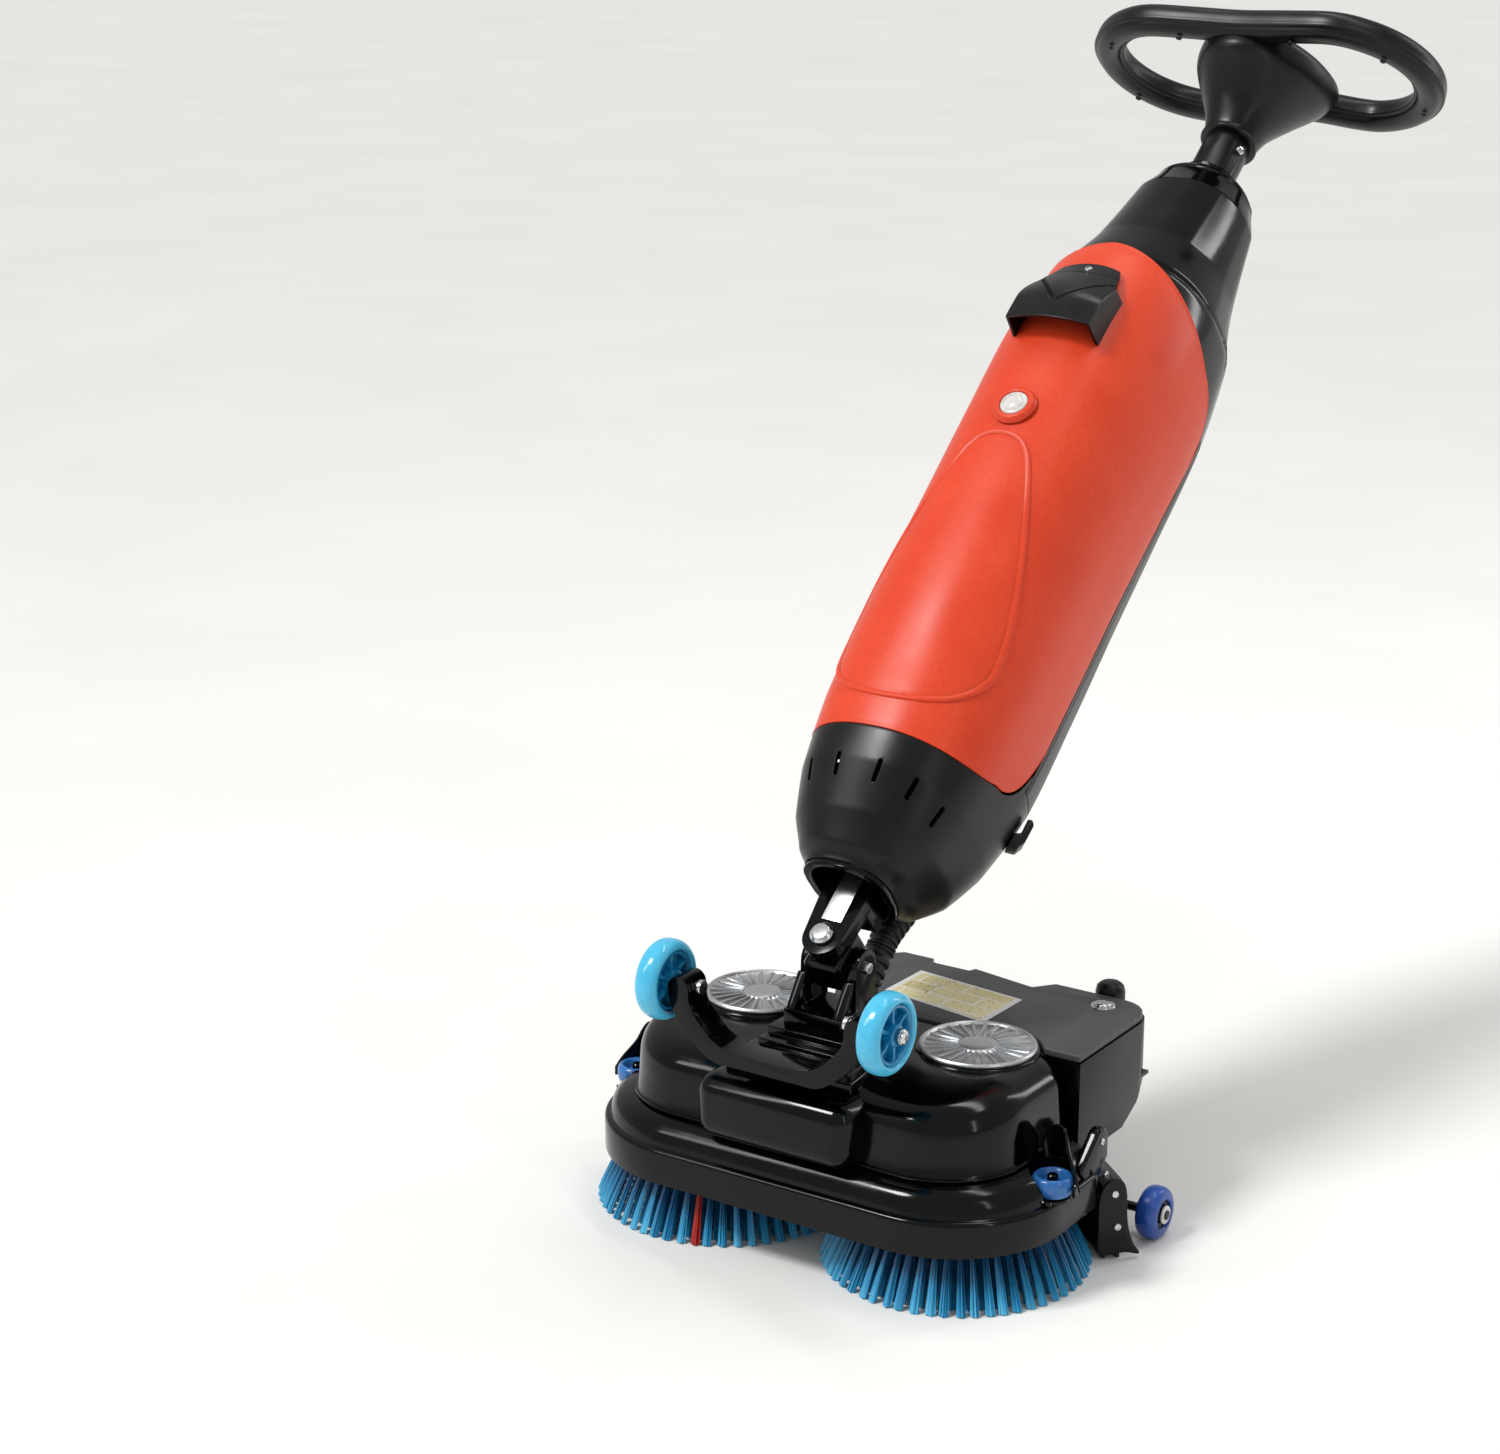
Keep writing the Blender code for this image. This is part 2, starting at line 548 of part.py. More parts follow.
def make_transport_wheels():
    """Small skate wheels: a clear blue tyre on a spoked hub."""
    half = WHEEL_WIDTH / 2
    for side, hand in ((-1, "left"), (1, "right")):
        place = (side * (WHEEL_OUTER_X - half), WHEEL_Y, WHEEL_Z)
        tyre = [(0.0225, -0.0095), (0.0225, 0.0095), (0.027, half)]
        tyre += [(0.026 + 0.009 * cos(a), half * sin(a)) for a in (1.0, 0.4, -0.4, -1.0)]
        tyre += [(0.027, -half)]
        turned(f"wheel_{hand}_tyre", tyre, TYRE_BLUE, place, "X", steps=28)
        hub = [(AXLE_R + 0.0004, -0.0112), (AXLE_R + 0.0004, 0.0112), (0.009, 0.0112), (0.010, 0.006)]
        hub += [(0.0221, 0.008), (0.0221, -0.008), (0.010, -0.006), (0.009, -0.0112)]
        turned(f"wheel_{hand}_hub", hub, HUB_BLUE, place, "X", steps=20)


def make_bumper_rollers():
    """The corner rollers that fend off walls, each turning on an upright stud of the skirt."""
    for side, hand in ((-1, "left"), (1, "right")):
        profile = ((0.0050, 0.0842), (0.0050, 0.0960), (0.0095, 0.0960), (0.0140, 0.1008))
        profile += ((BUMPER_R, 0.0985), (BUMPER_R, 0.0865), (0.0155, 0.0842))
        turned("bumper_roller_" + hand, profile, ROLLER_BLUE, (side * BUMPER_X, BUMPER_Y, 0), steps=20)


def squeegee_arc(radius):
    """The squeegee's curve from above, behind the brushes."""
    centre = (0, SQUEEGEE_REAR_Y - SQUEEGEE_ARC_R)
    return arc(centre, radius, 43.5, 136.5, 19)


def squeegee_strip(inner, outer):
    return squeegee_arc(inner) + squeegee_arc(outer)[::-1]


def make_squeegee():
    """A curved beam with two rubber blades, hung from the skirt's ears, with a guide roller at each end."""
    mid = SQUEEGEE_ARC_R
    beam = plate("squeegee_frame", [squeegee_strip(mid - 0.0042, mid + 0.0042)], 0.020, 0.060, BLACK_SATIN)
    joined = []
    for side in (-1, 1):
        arm = [(0.058, 0.093), (0.056, 0.084), (0.064, 0.0745), (0.078, 0.0510), (0.108, 0.0510)]
        arm += [(0.108, 0.020), (0.118, 0.009), (0.134, 0.012), (0.139, 0.024), (0.126, 0.045), (0.074, 0.092)]
        low, high = sorted((side * 0.1930, side * 0.2035))
        joined.append(piece("arm", side_plate_mesh(arm, low, high), BLACK_SATIN))
        place = (side * 0.2080, SQUEEGEE_PIVOT_Y, SQUEEGEE_PIVOT_Z)
        joined.append(rod("pivot_stud", 0.0040, 0.013, BLACK_SATIN, place, "X", segments=16))
        place = (side * 0.2255, GUIDE_Y, GUIDE_R)
        joined.append(rod("roller_stud", 0.0040, 0.046, BLACK_SATIN, place, "X", segments=16))
    joined.append(rod("suction_spout", 0.014, 0.014, BLACK_SATIN, (0, SQUEEGEE_REAR_Y, 0.0590)))
    combine(beam, joined, "UNION")
    plate("squeegee_blade_front", [squeegee_strip(mid - 0.0078, mid - 0.0046)], 0, 0.050, RUBBER)
    plate("squeegee_blade_rear", [squeegee_strip(mid + 0.0046, mid + 0.0078)], 0, 0.050, RUBBER)
    for side, hand in ((-1, "left"), (1, "right")):
        profile = ((0.0045, -0.010), (0.0045, 0.010), (0.020, 0.0095))
        profile += ((GUIDE_R, 0.006), (GUIDE_R, -0.006), (0.020, -0.0095))
        center = (side * GUIDE_X, GUIDE_Y, GUIDE_R)
        turned("guide_roller_" + hand, profile, ROLLER_BLUE, center, "X", steps=28)


def make_hose():
    """The corrugated suction hose from the deck to the tank, in two lengths that meet beside the neck."""
    port = ((0.0105, 0.1724), (0.0105, 0.1880), (0.0165, 0.1880), (0.0165, 0.1780))
    port += ((0.0200, 0.1770), (0.0200, 0.1724))
    turned("suction_port", port, BLACK_SATIN, (0.0, 0.0365, 0), steps=24)
    low = [(0, 0.0365, 0.1884), (0, 0.0365, 0.196), (0, 0.041, 0.208), (0, 0.050, 0.218), (0, 0.061, 0.229)]
    high = [(0, 0.0614, 0.2294), (0, 0.070, 0.238), (0, 0.088, 0.247), (0, 0.108, 0.256), (0, 0.124, 0.272)]
    tube("hose_lower", low, 0.0130, RUBBER)
    tube("hose_upper", high, 0.0130, RUBBER)


# ---- neck ---------------------------------------------------------------------------------------
def make_yoke():
    """The block that tips on the pitch pin and carries the roll pin, at right angles to it."""
    yoke = box("neck_yoke", (-0.0177, 0.0172, -0.0210), (0.0177, 0.0530, 0.0210), BLACK_GLOSS, BODY, 0.003, 1)
    bores = [rod("bore", 0.0053, 0.05, BLACK_GLOSS, (0, PITCH_BEHIND_PIN, 0), "X", BODY)]
    bores.append(rod("bore", 0.0064, 0.034, BLACK_GLOSS, (0, 0.0172, 0), "Y", BODY))
    combine(yoke, bores)
    pin = ((0, -0.0065), (0.0075, -0.0065), (0.0105, -0.0035), (0.0105, 0))
    pin += ((0.0060, 0), (0.0060, 0.0330), (0, 0.0330))
    turned("roll_pin", pin, STEEL, (0, 0, 0), "Y", BODY, steps=24).rotation_euler = (radians(-90), 0, 0)


def make_neck_arm():
    """The arm that turns on the roll pin, with a silver channel plate let into its front."""
    half = arc((0, 0), 0.0185, -90, 0, 7) + [(0.0225, 0.045), (0.0225, 0.112)]
    arm = piece("neck_arm", front_plate_mesh(mirrored(half), GAP, 0.0166), BLACK_GLOSS, BODY, smooth=False)
    combine(arm, [box("arm_back", (-0.0225, 0.012, 0.032), (0.0225, 0.036, 0.112), BLACK_GLOSS, BODY)], "UNION")
    cuts = [rod("pin_bore", 0.0063, 0.05, BLACK_GLOSS, (0, 0.01, 0), "Y", BODY)]
    cuts.append(box("channel", (-0.0100, -0.01, 0.0150), (0.0100, 0.0030, 0.120), BLACK_GLOSS, BODY))
    combine(arm, cuts)
    box("arm_plate", (-0.0097, 0.0008, 0.0153), (0.0097, 0.0027, 0.100), SILVER, BODY)


# ---- body ---------------------------------------------------------------------------------------
FRONT_ROUNDNESS, REAR_ROUNDNESS = 2.3, 2.8     # 2 would make the body's sections ellipses
BOWL_EDGE, BOWL_RISE = 0.158, 0.0410
TANK_TOP, TANK_SIDE_TOP = 0.700, 0.600
SEAM_SPAN = pi / 2 + 0.35       # angle from the front to the seam behind the tank


def power(value, exponent):
    return abs(value) ** exponent * (1 if value >= 0 else -1)


def body_point(height, angle):
    """A point of the body's outside, by its height and its angle from the +X side."""
    half, front, rear = smooth_between(BODY_SECTIONS, height)
    depth, roundness = (-front, FRONT_ROUNDNESS) if sin(angle) < 0 else (rear, REAR_ROUNDNESS)
    return (half * power(cos(angle), 2 / roundness), depth * power(sin(angle), 2 / roundness), height)


def side_angle(height, y):
    """The angle at which the body's outside reaches a place on Y behind its axis."""
    rear = smooth_between(BODY_SECTIONS, height)[2]
    sine = min(1, (y / rear) ** (REAR_ROUNDNESS / 2))
    return atan2(sine, sqrt(1 - sine**2))


def seam_share(angle):
    """0 at the body's front, 1 at the seam behind the front tank and beyond."""
    return min(1, abs(angle + pi / 2) / SEAM_SPAN)


def bowl_edge(angle):
    """Height of the bowl's upper edge, which rises from the front to the sides."""
    return BOWL_EDGE + BOWL_RISE * seam_share(angle) ** 4


def tank_edge(angle):
    """Height of the front tank's arched upper edge."""
    share = seam_share(angle)
    return TANK_TOP - (TANK_TOP - TANK_SIDE_TOP) * (0.78 * share**1.2 + 0.22 * share**10)


def full_ring(height_at, count=26):
    """A ring round the body whose height is a function of the angle."""
    return [body_point(height_at(a), a) for a in full_angles(count)]


def full_angles(count=26):
    """Evenly spaced angles right round the body, from its front."""
    return [-pi / 2 + 2 * pi * (i + 0.5) / count for i in range(count)]


def edge_angle(angle):
    """The same angle measured from the front, so that both sides of the body match."""
    return -pi / 2 - abs(angle + pi / 2) if angle < pi / 2 else -pi / 2 - abs(angle - 3 * pi / 2)


def make_bowl():
    """The black bowl under the tanks: it houses the suction fan, and the neck enters it from below."""
    rows = [full_ring(lambda a, h=h: h) for h in (0.0525, 0.060, 0.072, 0.095, 0.130)]
    rows.append(full_ring(lambda a: bowl_edge(edge_angle(a)) - 2 * GAP))
    bowl = loft("bowl", rows, BLACK_SATIN, BODY, wall=WALL)
    route = [(0, 0.070, 0.238), (0, 0.088, 0.247), (0, 0.108, 0.256), (0, 0.140, 0.288)]
    inlet = tube("inlet", route, 0.0150, BLACK_SATIN)
    combine(bowl, [inlet])
    outer = [(x, y) for x, y, z in full_ring(lambda a: 0.0525)]
    inner = [(0.82 * x, 0.012 + 0.88 * (y - 0.012)) for x, y in outer]
    plate("neck_ring", [outer, inner], 0.0480, 0.0521, BLACK_GLOSS, BODY)


def strip(heights, start, end, between):
    """Rows of points round part of the body, from one seam angle through fixed angles to another.

    A seam's angle is a function of height, and a row's height is a function of the angle.
    """
    rows = []
    for height_at in heights:
        row = []
        for angle in (None, *between, None):
            seam = start if not row else end
            height = 0.4
            for _ in range(4):      # at a seam, the height and the angle depend on each other
                turn = seam(height) if angle is None else angle
                height = height_at(turn)
            row.append(body_point(height, turn))
        rows.append(row)
    return rows


def make_tanks():
    """The red front tank, the black frame between, and the grey rear tank."""
    def front_row(share):
        return lambda a: bowl_edge(a) + GAP + share * (tank_edge(a) - bowl_edge(a) - 2 * GAP)

    shares = [front_row(i / 9) for i in range(10)]
    round_front = [a - 2 * pi if a > pi / 2 else a for a in full_angles()]
    across = [a for a in round_front if abs(a + pi / 2) < SEAM_SPAN]
    left, right = lambda h: -pi - side_angle(h, SEAM_Y), lambda h: side_angle(h, SEAM_Y)
    rows = strip(shares, left, right, sorted(across))
    tank = loft("clean_tank", rows, RED, BODY, wall=WALL, closed=False)
    combine(tank, [rod("button_hole", 0.0193, 0.05, RED, (0, -0.115, 0.4835), "Y", BODY)])

    heights = [0.200 + (0.5990 - 0.200) * i / 7 for i in range(8)]
    rows = []
    for h in heights:
        half, front, rear = smooth_between(BODY_SECTIONS, h)
        right = []
        for i in range(4):
            y = SEAM_Y + GAP + (GREY_Y - SEAM_Y - 2 * GAP) * i / 3
            right.append((half * (1 - (y / rear) ** REAR_ROUNDNESS) ** (1 / REAR_ROUNDNESS), y, h))
        rows.append(right + [(-x, y, z) for x, y, z in reversed(right)])
    frame = loft("spine_frame", rows, BLACK_SATIN, BODY)
    web_y = SEAM_Y + 0.0030
    combine(frame, [box("pocket", (-0.074, SEAM_Y - 0.01, 0.206), (0.074, web_y, 0.593), BLACK_SATIN, BODY)])

    front_edge = GREY_Y + 0.0016
    rows = strip([lambda a, h=h: h for h in heights], lambda h: side_angle(h, front_edge),
                 lambda h: pi - side_angle(h, front_edge), [radians(a) for a in range(36, 145, 12)])
    loft("recovery_tank", rows, GREY, BODY, wall=WALL, closed=False)


def make_top_cap():
    """The black bell over the tanks, drawn down at the sides, and closed round the handle tube."""
    def cap_row(share):
        return lambda a: tank_edge(edge_angle(a)) + 2 * GAP + share * (CAP_TOP - tank_edge(edge_angle(a)))

    rows = [full_ring(cap_row(share)) for share in (0, 0.2, 0.4, 0.6, 0.8, 0.93, 0.999)]
    mouth = [(0.030 * cos(a), TUBE_Y + 0.030 * sin(a), CAP_TOP + 0.012) for a in ring_angles()]
    rows.append(mouth)
    cap = loft("top_cap", rows, BLACK_GLOSS, BODY, wall=WALL)
    inner, low, high = TUBE_R + 0.0004, CAP_TOP - 0.004, CAP_TOP + 0.015
    profile = ((inner, low), (inner, high), (0.0295, high - 0.002), (0.0295, low))
    collar = turned("collar", profile, BLACK_GLOSS, (0, TUBE_Y, 0), parent=BODY)
    return combine(cap, [collar], "UNION")


def ring_angles(count=26):
    return [-pi / 2 + 2 * pi * (i + 0.5) / count for i in range(count)]


def visor_row(height, lift):
    """A row of the latch, which stands off the front tank and comes back to it at its two sides."""
    angles = [radians(a) for a in range(-126, -53, 8)]
    lifts = [0.0040, *([lift] * (len(angles) - 2)), 0.0040]
    row = []
    for angle, distance in zip(angles, lifts):
        x, y, z = body_point(height, angle)
        row.append((x + distance * cos(angle), y + distance * sin(angle), z))
    return row


def make_body_details():
    """What is on and inside the tanks: latch, button, fan, pump and control board."""
    lift_at = ((0.5720, 0.0235), (0.5900, 0.0225), (0.6080, 0.0190))
    lift_at += ((0.6240, 0.0130), (0.6340, 0.0080), (0.6400, 0.0040))
    loft("tank_latch", [visor_row(*step) for step in lift_at], BLACK_SATIN, BODY, wall=WALL, closed=False)
    ring = ((0.0131, -0.1235), (0.0131, -0.1070), (0.0190, -0.1070), (0.0190, -0.1220), (0.0175, -0.1235))
    turned("button_bezel", ring, RED, (0, 0, 0.4835), "Y", BODY, steps=24)
    button = ((0, -0.1255), (0.0110, -0.1250), (0.0127, -0.1235), (0.0127, -0.1100), (0, -0.1100))
    turned("power_button", button, WHITE, (0, 0, 0.4835), "Y", BODY, steps=24)
    motor = ((0, 0.2250), (0.036, 0.2250), (0.044, 0.2330), (0.044, 0.2850), (0.030, 0.3000), (0, 0.3000))
    turned("vacuum_motor", motor, STEEL, (0, -0.034, 0), parent=BODY, steps=20)
    fan = ((0, 0.1980), (0.043, 0.2000), (0.043, 0.2140), (0.016, 0.2200), (0, 0.2200))
    turned("fan_wheel", fan, SILVER, (0, -0.034, 0), parent=BODY, steps=20)
    box("control_board", (-0.045, 0.0520, 0.440), (0.045, 0.0538, 0.550), GREEN, BODY)
    rod("water_pump", 0.020, 0.060, STEEL, (0, -0.034, 0.350), "X", BODY)


# ---- handle -------------------------------------------------------------------------------------
LOOP_FRONT, LOOP_REAR = (-0.092, 0.994), (0.068, 1.045)     # the bars' centres, y and z
LOOP_HALF, LOOP_END_R, BAR_R = 0.163, 0.084, 0.0158
BOSS_BOTTOM = 0.916


def loop_route():
    """The loop's closed centre line: two bars joined by round ends, the rear one bent towards the boss."""
    (front_y, front_z), (rear_y, rear_z) = LOOP_FRONT, LOOP_REAR
    centre = LOOP_HALF - LOOP_END_R
    plan = [(0, 0.03), (0.05, 0.014)] + [
        (centre + LOOP_END_R * cos(radians(a)), 0.5 + 0.5 * sin(radians(a))) for a in range(-80, 81, 20)
    ]
    plan += [(0.07, 0.985), (0.035, 0.93), (0, 0.90)]
    plan += [(-x, share) for x, share in reversed(plan[1:-1])]
    return [(x, front_y + share * (rear_y - front_y), front_z + share * (rear_z - front_z)) for x, share in plan]


def loop_mesh(radius):
    curve = bpy.data.curves.new("loop", "CURVE")
    curve.dimensions = "3D"
    curve.bevel_depth = radius
    curve.bevel_resolution = 3
    route = loop_route()
    spline = curve.splines.new("POLY")
    spline.points.add(len(route) - 1)
    for point, place in zip(spline.points, route):
        point.co = (*place, 1)
    spline.use_cyclic_u = True
    return curve_mesh(curve, "loop")


def boss_ring(height, half, front, rear, slope=0.0, flare=0.0, count=24):
    """A ring of the boss, whose height may rise towards the rear."""
    middle, depth = (front + rear) / 2, (rear - front) / 2
    points = []
    for i in range(count):
        a = 2 * pi * i / count
        y = middle + depth * power(sin(a), 0.9)
        points.append((half * power(cos(a), 0.9) * (1 + flare * sin(a)), y, height + slope * (y - middle)))
    return points


def make_handle():
    """The tube on the body, and the sliding stem with its flared boss and loop."""
    sleeve = ((0.0201, 0.790), (0.0201, BOSS_BOTTOM - GAP), (TUBE_R, BOSS_BOTTOM - GAP), (TUBE_R, 0.790))
    handle_tube = turned("handle_tube", sleeve, BLACK_SATIN, (0, TUBE_Y, 0), parent=BODY)
    stem = ((0.0160, 0.810), (0.0160, 0.9640), (0.0197, 0.9640), (0.0197, 0.810))
    stem = turned("handle_stem", stem, STEEL, (0, TUBE_Y, 0), parent=BODY)
    rings = [
        boss_ring(BOSS_BOTTOM, 0.0260, TUBE_Y - 0.0260, TUBE_Y + 0.0260),
        boss_ring(0.924, 0.0265, TUBE_Y - 0.0265, TUBE_Y + 0.0265),
        boss_ring(0.945, 0.0330, TUBE_Y - 0.0370, TUBE_Y + 0.0330, 0.08),
        boss_ring(0.972, 0.0480, TUBE_Y - 0.0600, TUBE_Y + 0.0500, 0.2, 0.1),
        boss_ring(0.995, 0.0600, -0.0880, 0.0560, 0.32, 0.2),
        boss_ring(1.013, 0.0640, -0.0900, 0.0610, 0.32, 0.2),
        boss_ring(1.024, 0.0590, -0.0860, 0.0580, 0.32, 0.2),
    ]
    boss = loft("handle_boss", rings, BLACK_SATIN, BODY)
    saddle = piece("saddle", loop_mesh(BAR_R + 0.0004), BLACK_SATIN, BODY)
    socket = rod("socket", 0.0200, 0.100, BLACK_SATIN, (0, TUBE_Y, 0.9144), parent=BODY, segments=32)
    combine(boss, [saddle, socket])
    piece("handle_loop", loop_mesh(BAR_R), BLACK_SATIN, BODY)
    turn = radians(-25)
    axis = Vector((cos(turn), sin(turn), 0))
    place = Vector((0, TUBE_Y, 0.9000)) + axis * 0.0232
    snap = rod("snap_button", 0.0042, 0.0050, STEEL, place, "X", BODY, segments=16)
    snap.rotation_euler = (0, 0, turn)
    hole_place = Vector((0, TUBE_Y, 0.9000)) + axis * 0.022
    hole = rod("snap_hole", 0.0046, 0.02, STEEL, hole_place, "X", BODY, segments=16)
    hole.rotation_euler = (0, 0, turn)
    combine(handle_tube, [hole])
    slot = box("slot", (0.010, -0.0048, 0.8545), (0.030, 0.0048, 0.9052), STEEL, BODY)
    slot.location = (0, TUBE_Y, 0)
    slot.rotation_euler = (0, 0, turn)
    combine(stem, [slot])


make_skirt()
make_deck_plate()
make_deck_shell()
make_drives()
make_wheel_carrier()
make_neck_base()
make_battery_box()
make_brushes()
make_transport_wheels()
make_bumper_rollers()
make_squeegee()
make_hose()
make_yoke()
make_neck_arm()
make_bowl()
make_tanks()
make_top_cap()
make_body_details()
make_handle()
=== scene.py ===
# %% [markdown]
# # A walk-behind wet dry floor scrubber
# Two disc brushes turn under a low black deck. A leaning body holds the clean-water tank in front and the
# recovery tank behind. A curved squeegee follows the brushes and dries the floor. The mechanical model is
# loaded as it is, because every wheel, pin and hinge is already in its right place. What is made here is
# what the eye reads: moulded skins with soft edges, brush tufts, a ribbed hose and the right finishes.

import json
import random
from math import asin, atan2, cos, pi, radians, sin, tau

import bmesh
import bpy
from mathutils import Matrix, Vector


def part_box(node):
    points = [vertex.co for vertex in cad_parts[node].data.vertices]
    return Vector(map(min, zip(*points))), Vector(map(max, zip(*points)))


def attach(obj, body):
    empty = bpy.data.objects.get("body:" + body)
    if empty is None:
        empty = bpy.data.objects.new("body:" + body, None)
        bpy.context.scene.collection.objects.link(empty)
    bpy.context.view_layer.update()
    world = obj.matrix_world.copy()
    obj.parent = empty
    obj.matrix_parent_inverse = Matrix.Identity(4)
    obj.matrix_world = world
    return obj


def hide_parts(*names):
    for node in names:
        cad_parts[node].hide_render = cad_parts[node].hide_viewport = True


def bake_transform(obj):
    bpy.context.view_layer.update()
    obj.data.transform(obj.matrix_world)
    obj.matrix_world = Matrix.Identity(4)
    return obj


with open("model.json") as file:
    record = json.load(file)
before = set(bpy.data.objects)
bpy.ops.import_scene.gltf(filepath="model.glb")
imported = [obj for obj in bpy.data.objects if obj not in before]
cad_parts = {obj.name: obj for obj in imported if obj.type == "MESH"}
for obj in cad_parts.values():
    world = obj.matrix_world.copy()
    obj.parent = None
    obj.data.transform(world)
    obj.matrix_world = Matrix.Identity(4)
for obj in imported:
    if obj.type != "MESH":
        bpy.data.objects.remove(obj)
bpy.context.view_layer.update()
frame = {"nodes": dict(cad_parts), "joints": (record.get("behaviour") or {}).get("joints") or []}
MM = 0.001
PER_METRE = 1000  # millimetres in a metre

# %% [markdown]
# Two frames make every later number short. The deck frame stands on the floor, midway between the brush
# axles. The body frame starts at the pin in the neck and leans with the body: its Z runs up the handle tube
# and its Y points to the operator. Both are read from the joints and pieces of the mechanical model.

# %% The deck frame and the body frame
JOINTS = {joint["name"]: joint for joint in frame["joints"]}
BRUSH_LOW, BRUSH_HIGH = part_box("brush_right_block")
DECK = Matrix.Translation((0, (BRUSH_LOW.y + BRUSH_HIGH.y) / 2, 0))
across_body = Vector((1, 0, 0))
out_of_body = Vector(JOINTS["neck_roll"]["axis"])
BODY = Matrix((across_body, -out_of_body, across_body.cross(-out_of_body))).transposed().to_4x4()
BODY.translation = Vector(JOINTS["neck_roll"]["pos_m"])
print("body leans back", round(atan2(BODY[1][2], BODY[2][2]) * 180 / pi, 1), "degrees")

# %% [markdown]
# The camera stands low and to the front right, with a long lens, so the body keeps its true proportions. A
# pale floor, four long lamps and a high hazy sun make a plain studio. Gloss black shows only what it
# reflects, so the lamps are narrow strips: they draw the thin bright lines along every rounded edge.

# %% Camera
BACK = Vector((0.5339, -0.7957, 0.2861)).normalized()
AIM, DISTANCE = DECK @ Vector((-0.1928, 0.15, 0.3736)), 2.8009
camera = bpy.data.objects.new("camera", bpy.data.cameras.new("camera"))
bpy.context.scene.collection.objects.link(camera)
camera.data.lens = 75.23
camera.data.sensor_width = 36
camera.location = AIM + BACK * DISTANCE
camera.rotation_euler = BACK.to_track_quat("Z", "Y").to_euler()
bpy.context.scene.camera = camera


# %% Lamps and floor
def lamp(name, place, target, size, power):
    """A soft rectangular lamp that looks at a target."""
    light = bpy.data.objects.new(name, bpy.data.lights.new(name, "AREA"))
    bpy.context.scene.collection.objects.link(light)
    light.data.shape = "RECTANGLE"
    light.data.size, light.data.size_y = size
    light.data.energy = power
    light.location = place
    light.rotation_euler = (Vector(place) - Vector(target)).to_track_quat("Z", "Y").to_euler()
    return light


lamp("key_strip", (-1.5, -2.1, 2.2), (0, 0, 0.4), (0.28, 1.7), 15)
lamp("fill_strip", (2.3, -1.3, 1.5), (0, 0, 0.4), (0.06, 1.9), 5)
lamp("top_strip", (0.2, 0.4, 2.9), (0, 0, 0.3), (2.2, 0.24), 14)
lamp("rim_strip", (1.5, 2.0, 1.7), (0, 0.2, 0.5), (0.22, 2.0), 12)
daylight = bpy.data.objects.new("high_daylight", bpy.data.lights.new("high_daylight", "SUN"))
bpy.context.scene.collection.objects.link(daylight)
daylight.data.energy = 1.8
daylight.data.angle = radians(14)
daylight.rotation_euler = Vector((-0.45, -0.55, 1)).to_track_quat("Z", "Y").to_euler()

bpy.ops.object.select_all(action="DESELECT")
bpy.ops.mesh.primitive_plane_add(size=60)
floor = bpy.context.object
floor.name = "studio_floor"
world = bpy.data.worlds.new("studio")
world.use_nodes = True
world.node_tree.nodes["Background"].inputs["Color"].default_value = (1, 1, 1, 1)
world.node_tree.nodes["Background"].inputs["Strength"].default_value = 0.50
bpy.context.scene.world = world
bpy.context.scene.view_settings.view_transform = "Standard"
print("camera", tuple(round(v, 3) for v in camera.location))

# %% [markdown]
# ## Finishes
# Each finish starts from what the real material is. One function turns a colour from its usual hex form to
# the linear numbers that a shader wants, and one function adds a node, sets it up and links it.


# %% Colour and node helpers
def linear(hex_colour):
    """An sRGB colour such as E0492C as linear red, green, blue and alpha."""
    parts = [int(hex_colour[i : i + 2], 16) / 255 for i in (0, 2, 4)]
    return [p / 12.92 if p <= 0.04045 else ((p + 0.055) / 1.055) ** 2.4 for p in parts] + [1]


def add(tree, kind, settings=None, **links):
    """Adds a shader node; settings are its properties or unlinked inputs, links are its linked inputs."""
    node = tree.nodes.new("ShaderNode" + kind)
    for key, value in (settings or {}).items():
        if hasattr(node, key):
            setattr(node, key, value)
        else:
            node.inputs[key].default_value = value
    for key, source in links.items():
        slots = [s for s in node.inputs if s.name.replace(" ", "_") == key and s.enabled]
        tree.links.new(slots[0], source)
    return node


def two_tones(ramp, low, shade, high, light):
    """Puts a shade and a light colour at two places of a colour ramp."""
    for end, place, colour in ((0, low, shade), (1, high, light)):
        ramp.color_ramp.elements[end].position = place
        ramp.color_ramp.elements[end].color = linear(colour)


FINISHES = {}


def finish(name, slot, roughness, metallic=0.0, ior=None, **sockets):
    """Starts a material on the Principled shader and notes which slot of the record it belongs to."""
    material = bpy.data.materials.new(name)
    material.use_nodes = True
    shader = material.node_tree.nodes["Principled BSDF"]
    shader.inputs["Roughness"].default_value = roughness
    shader.inputs["Metallic"].default_value = metallic
    if ior:
        shader.inputs["IOR"].default_value = ior
    for key, value in sockets.items():
        shader.inputs[key.replace("_", " ")].default_value = value
    FINISHES[name] = (material, slot)
    return material.node_tree, shader


# %% [markdown]
# Moulded plastic carries the spark-eroded grain of its mould, a fraction of a millimetre across, and it is
# never evenly shiny: handling and cleaning leave slow changes in gloss over several centimetres. So every
# plastic here has a fine bump, a slow drift in roughness and a faint drift in colour.


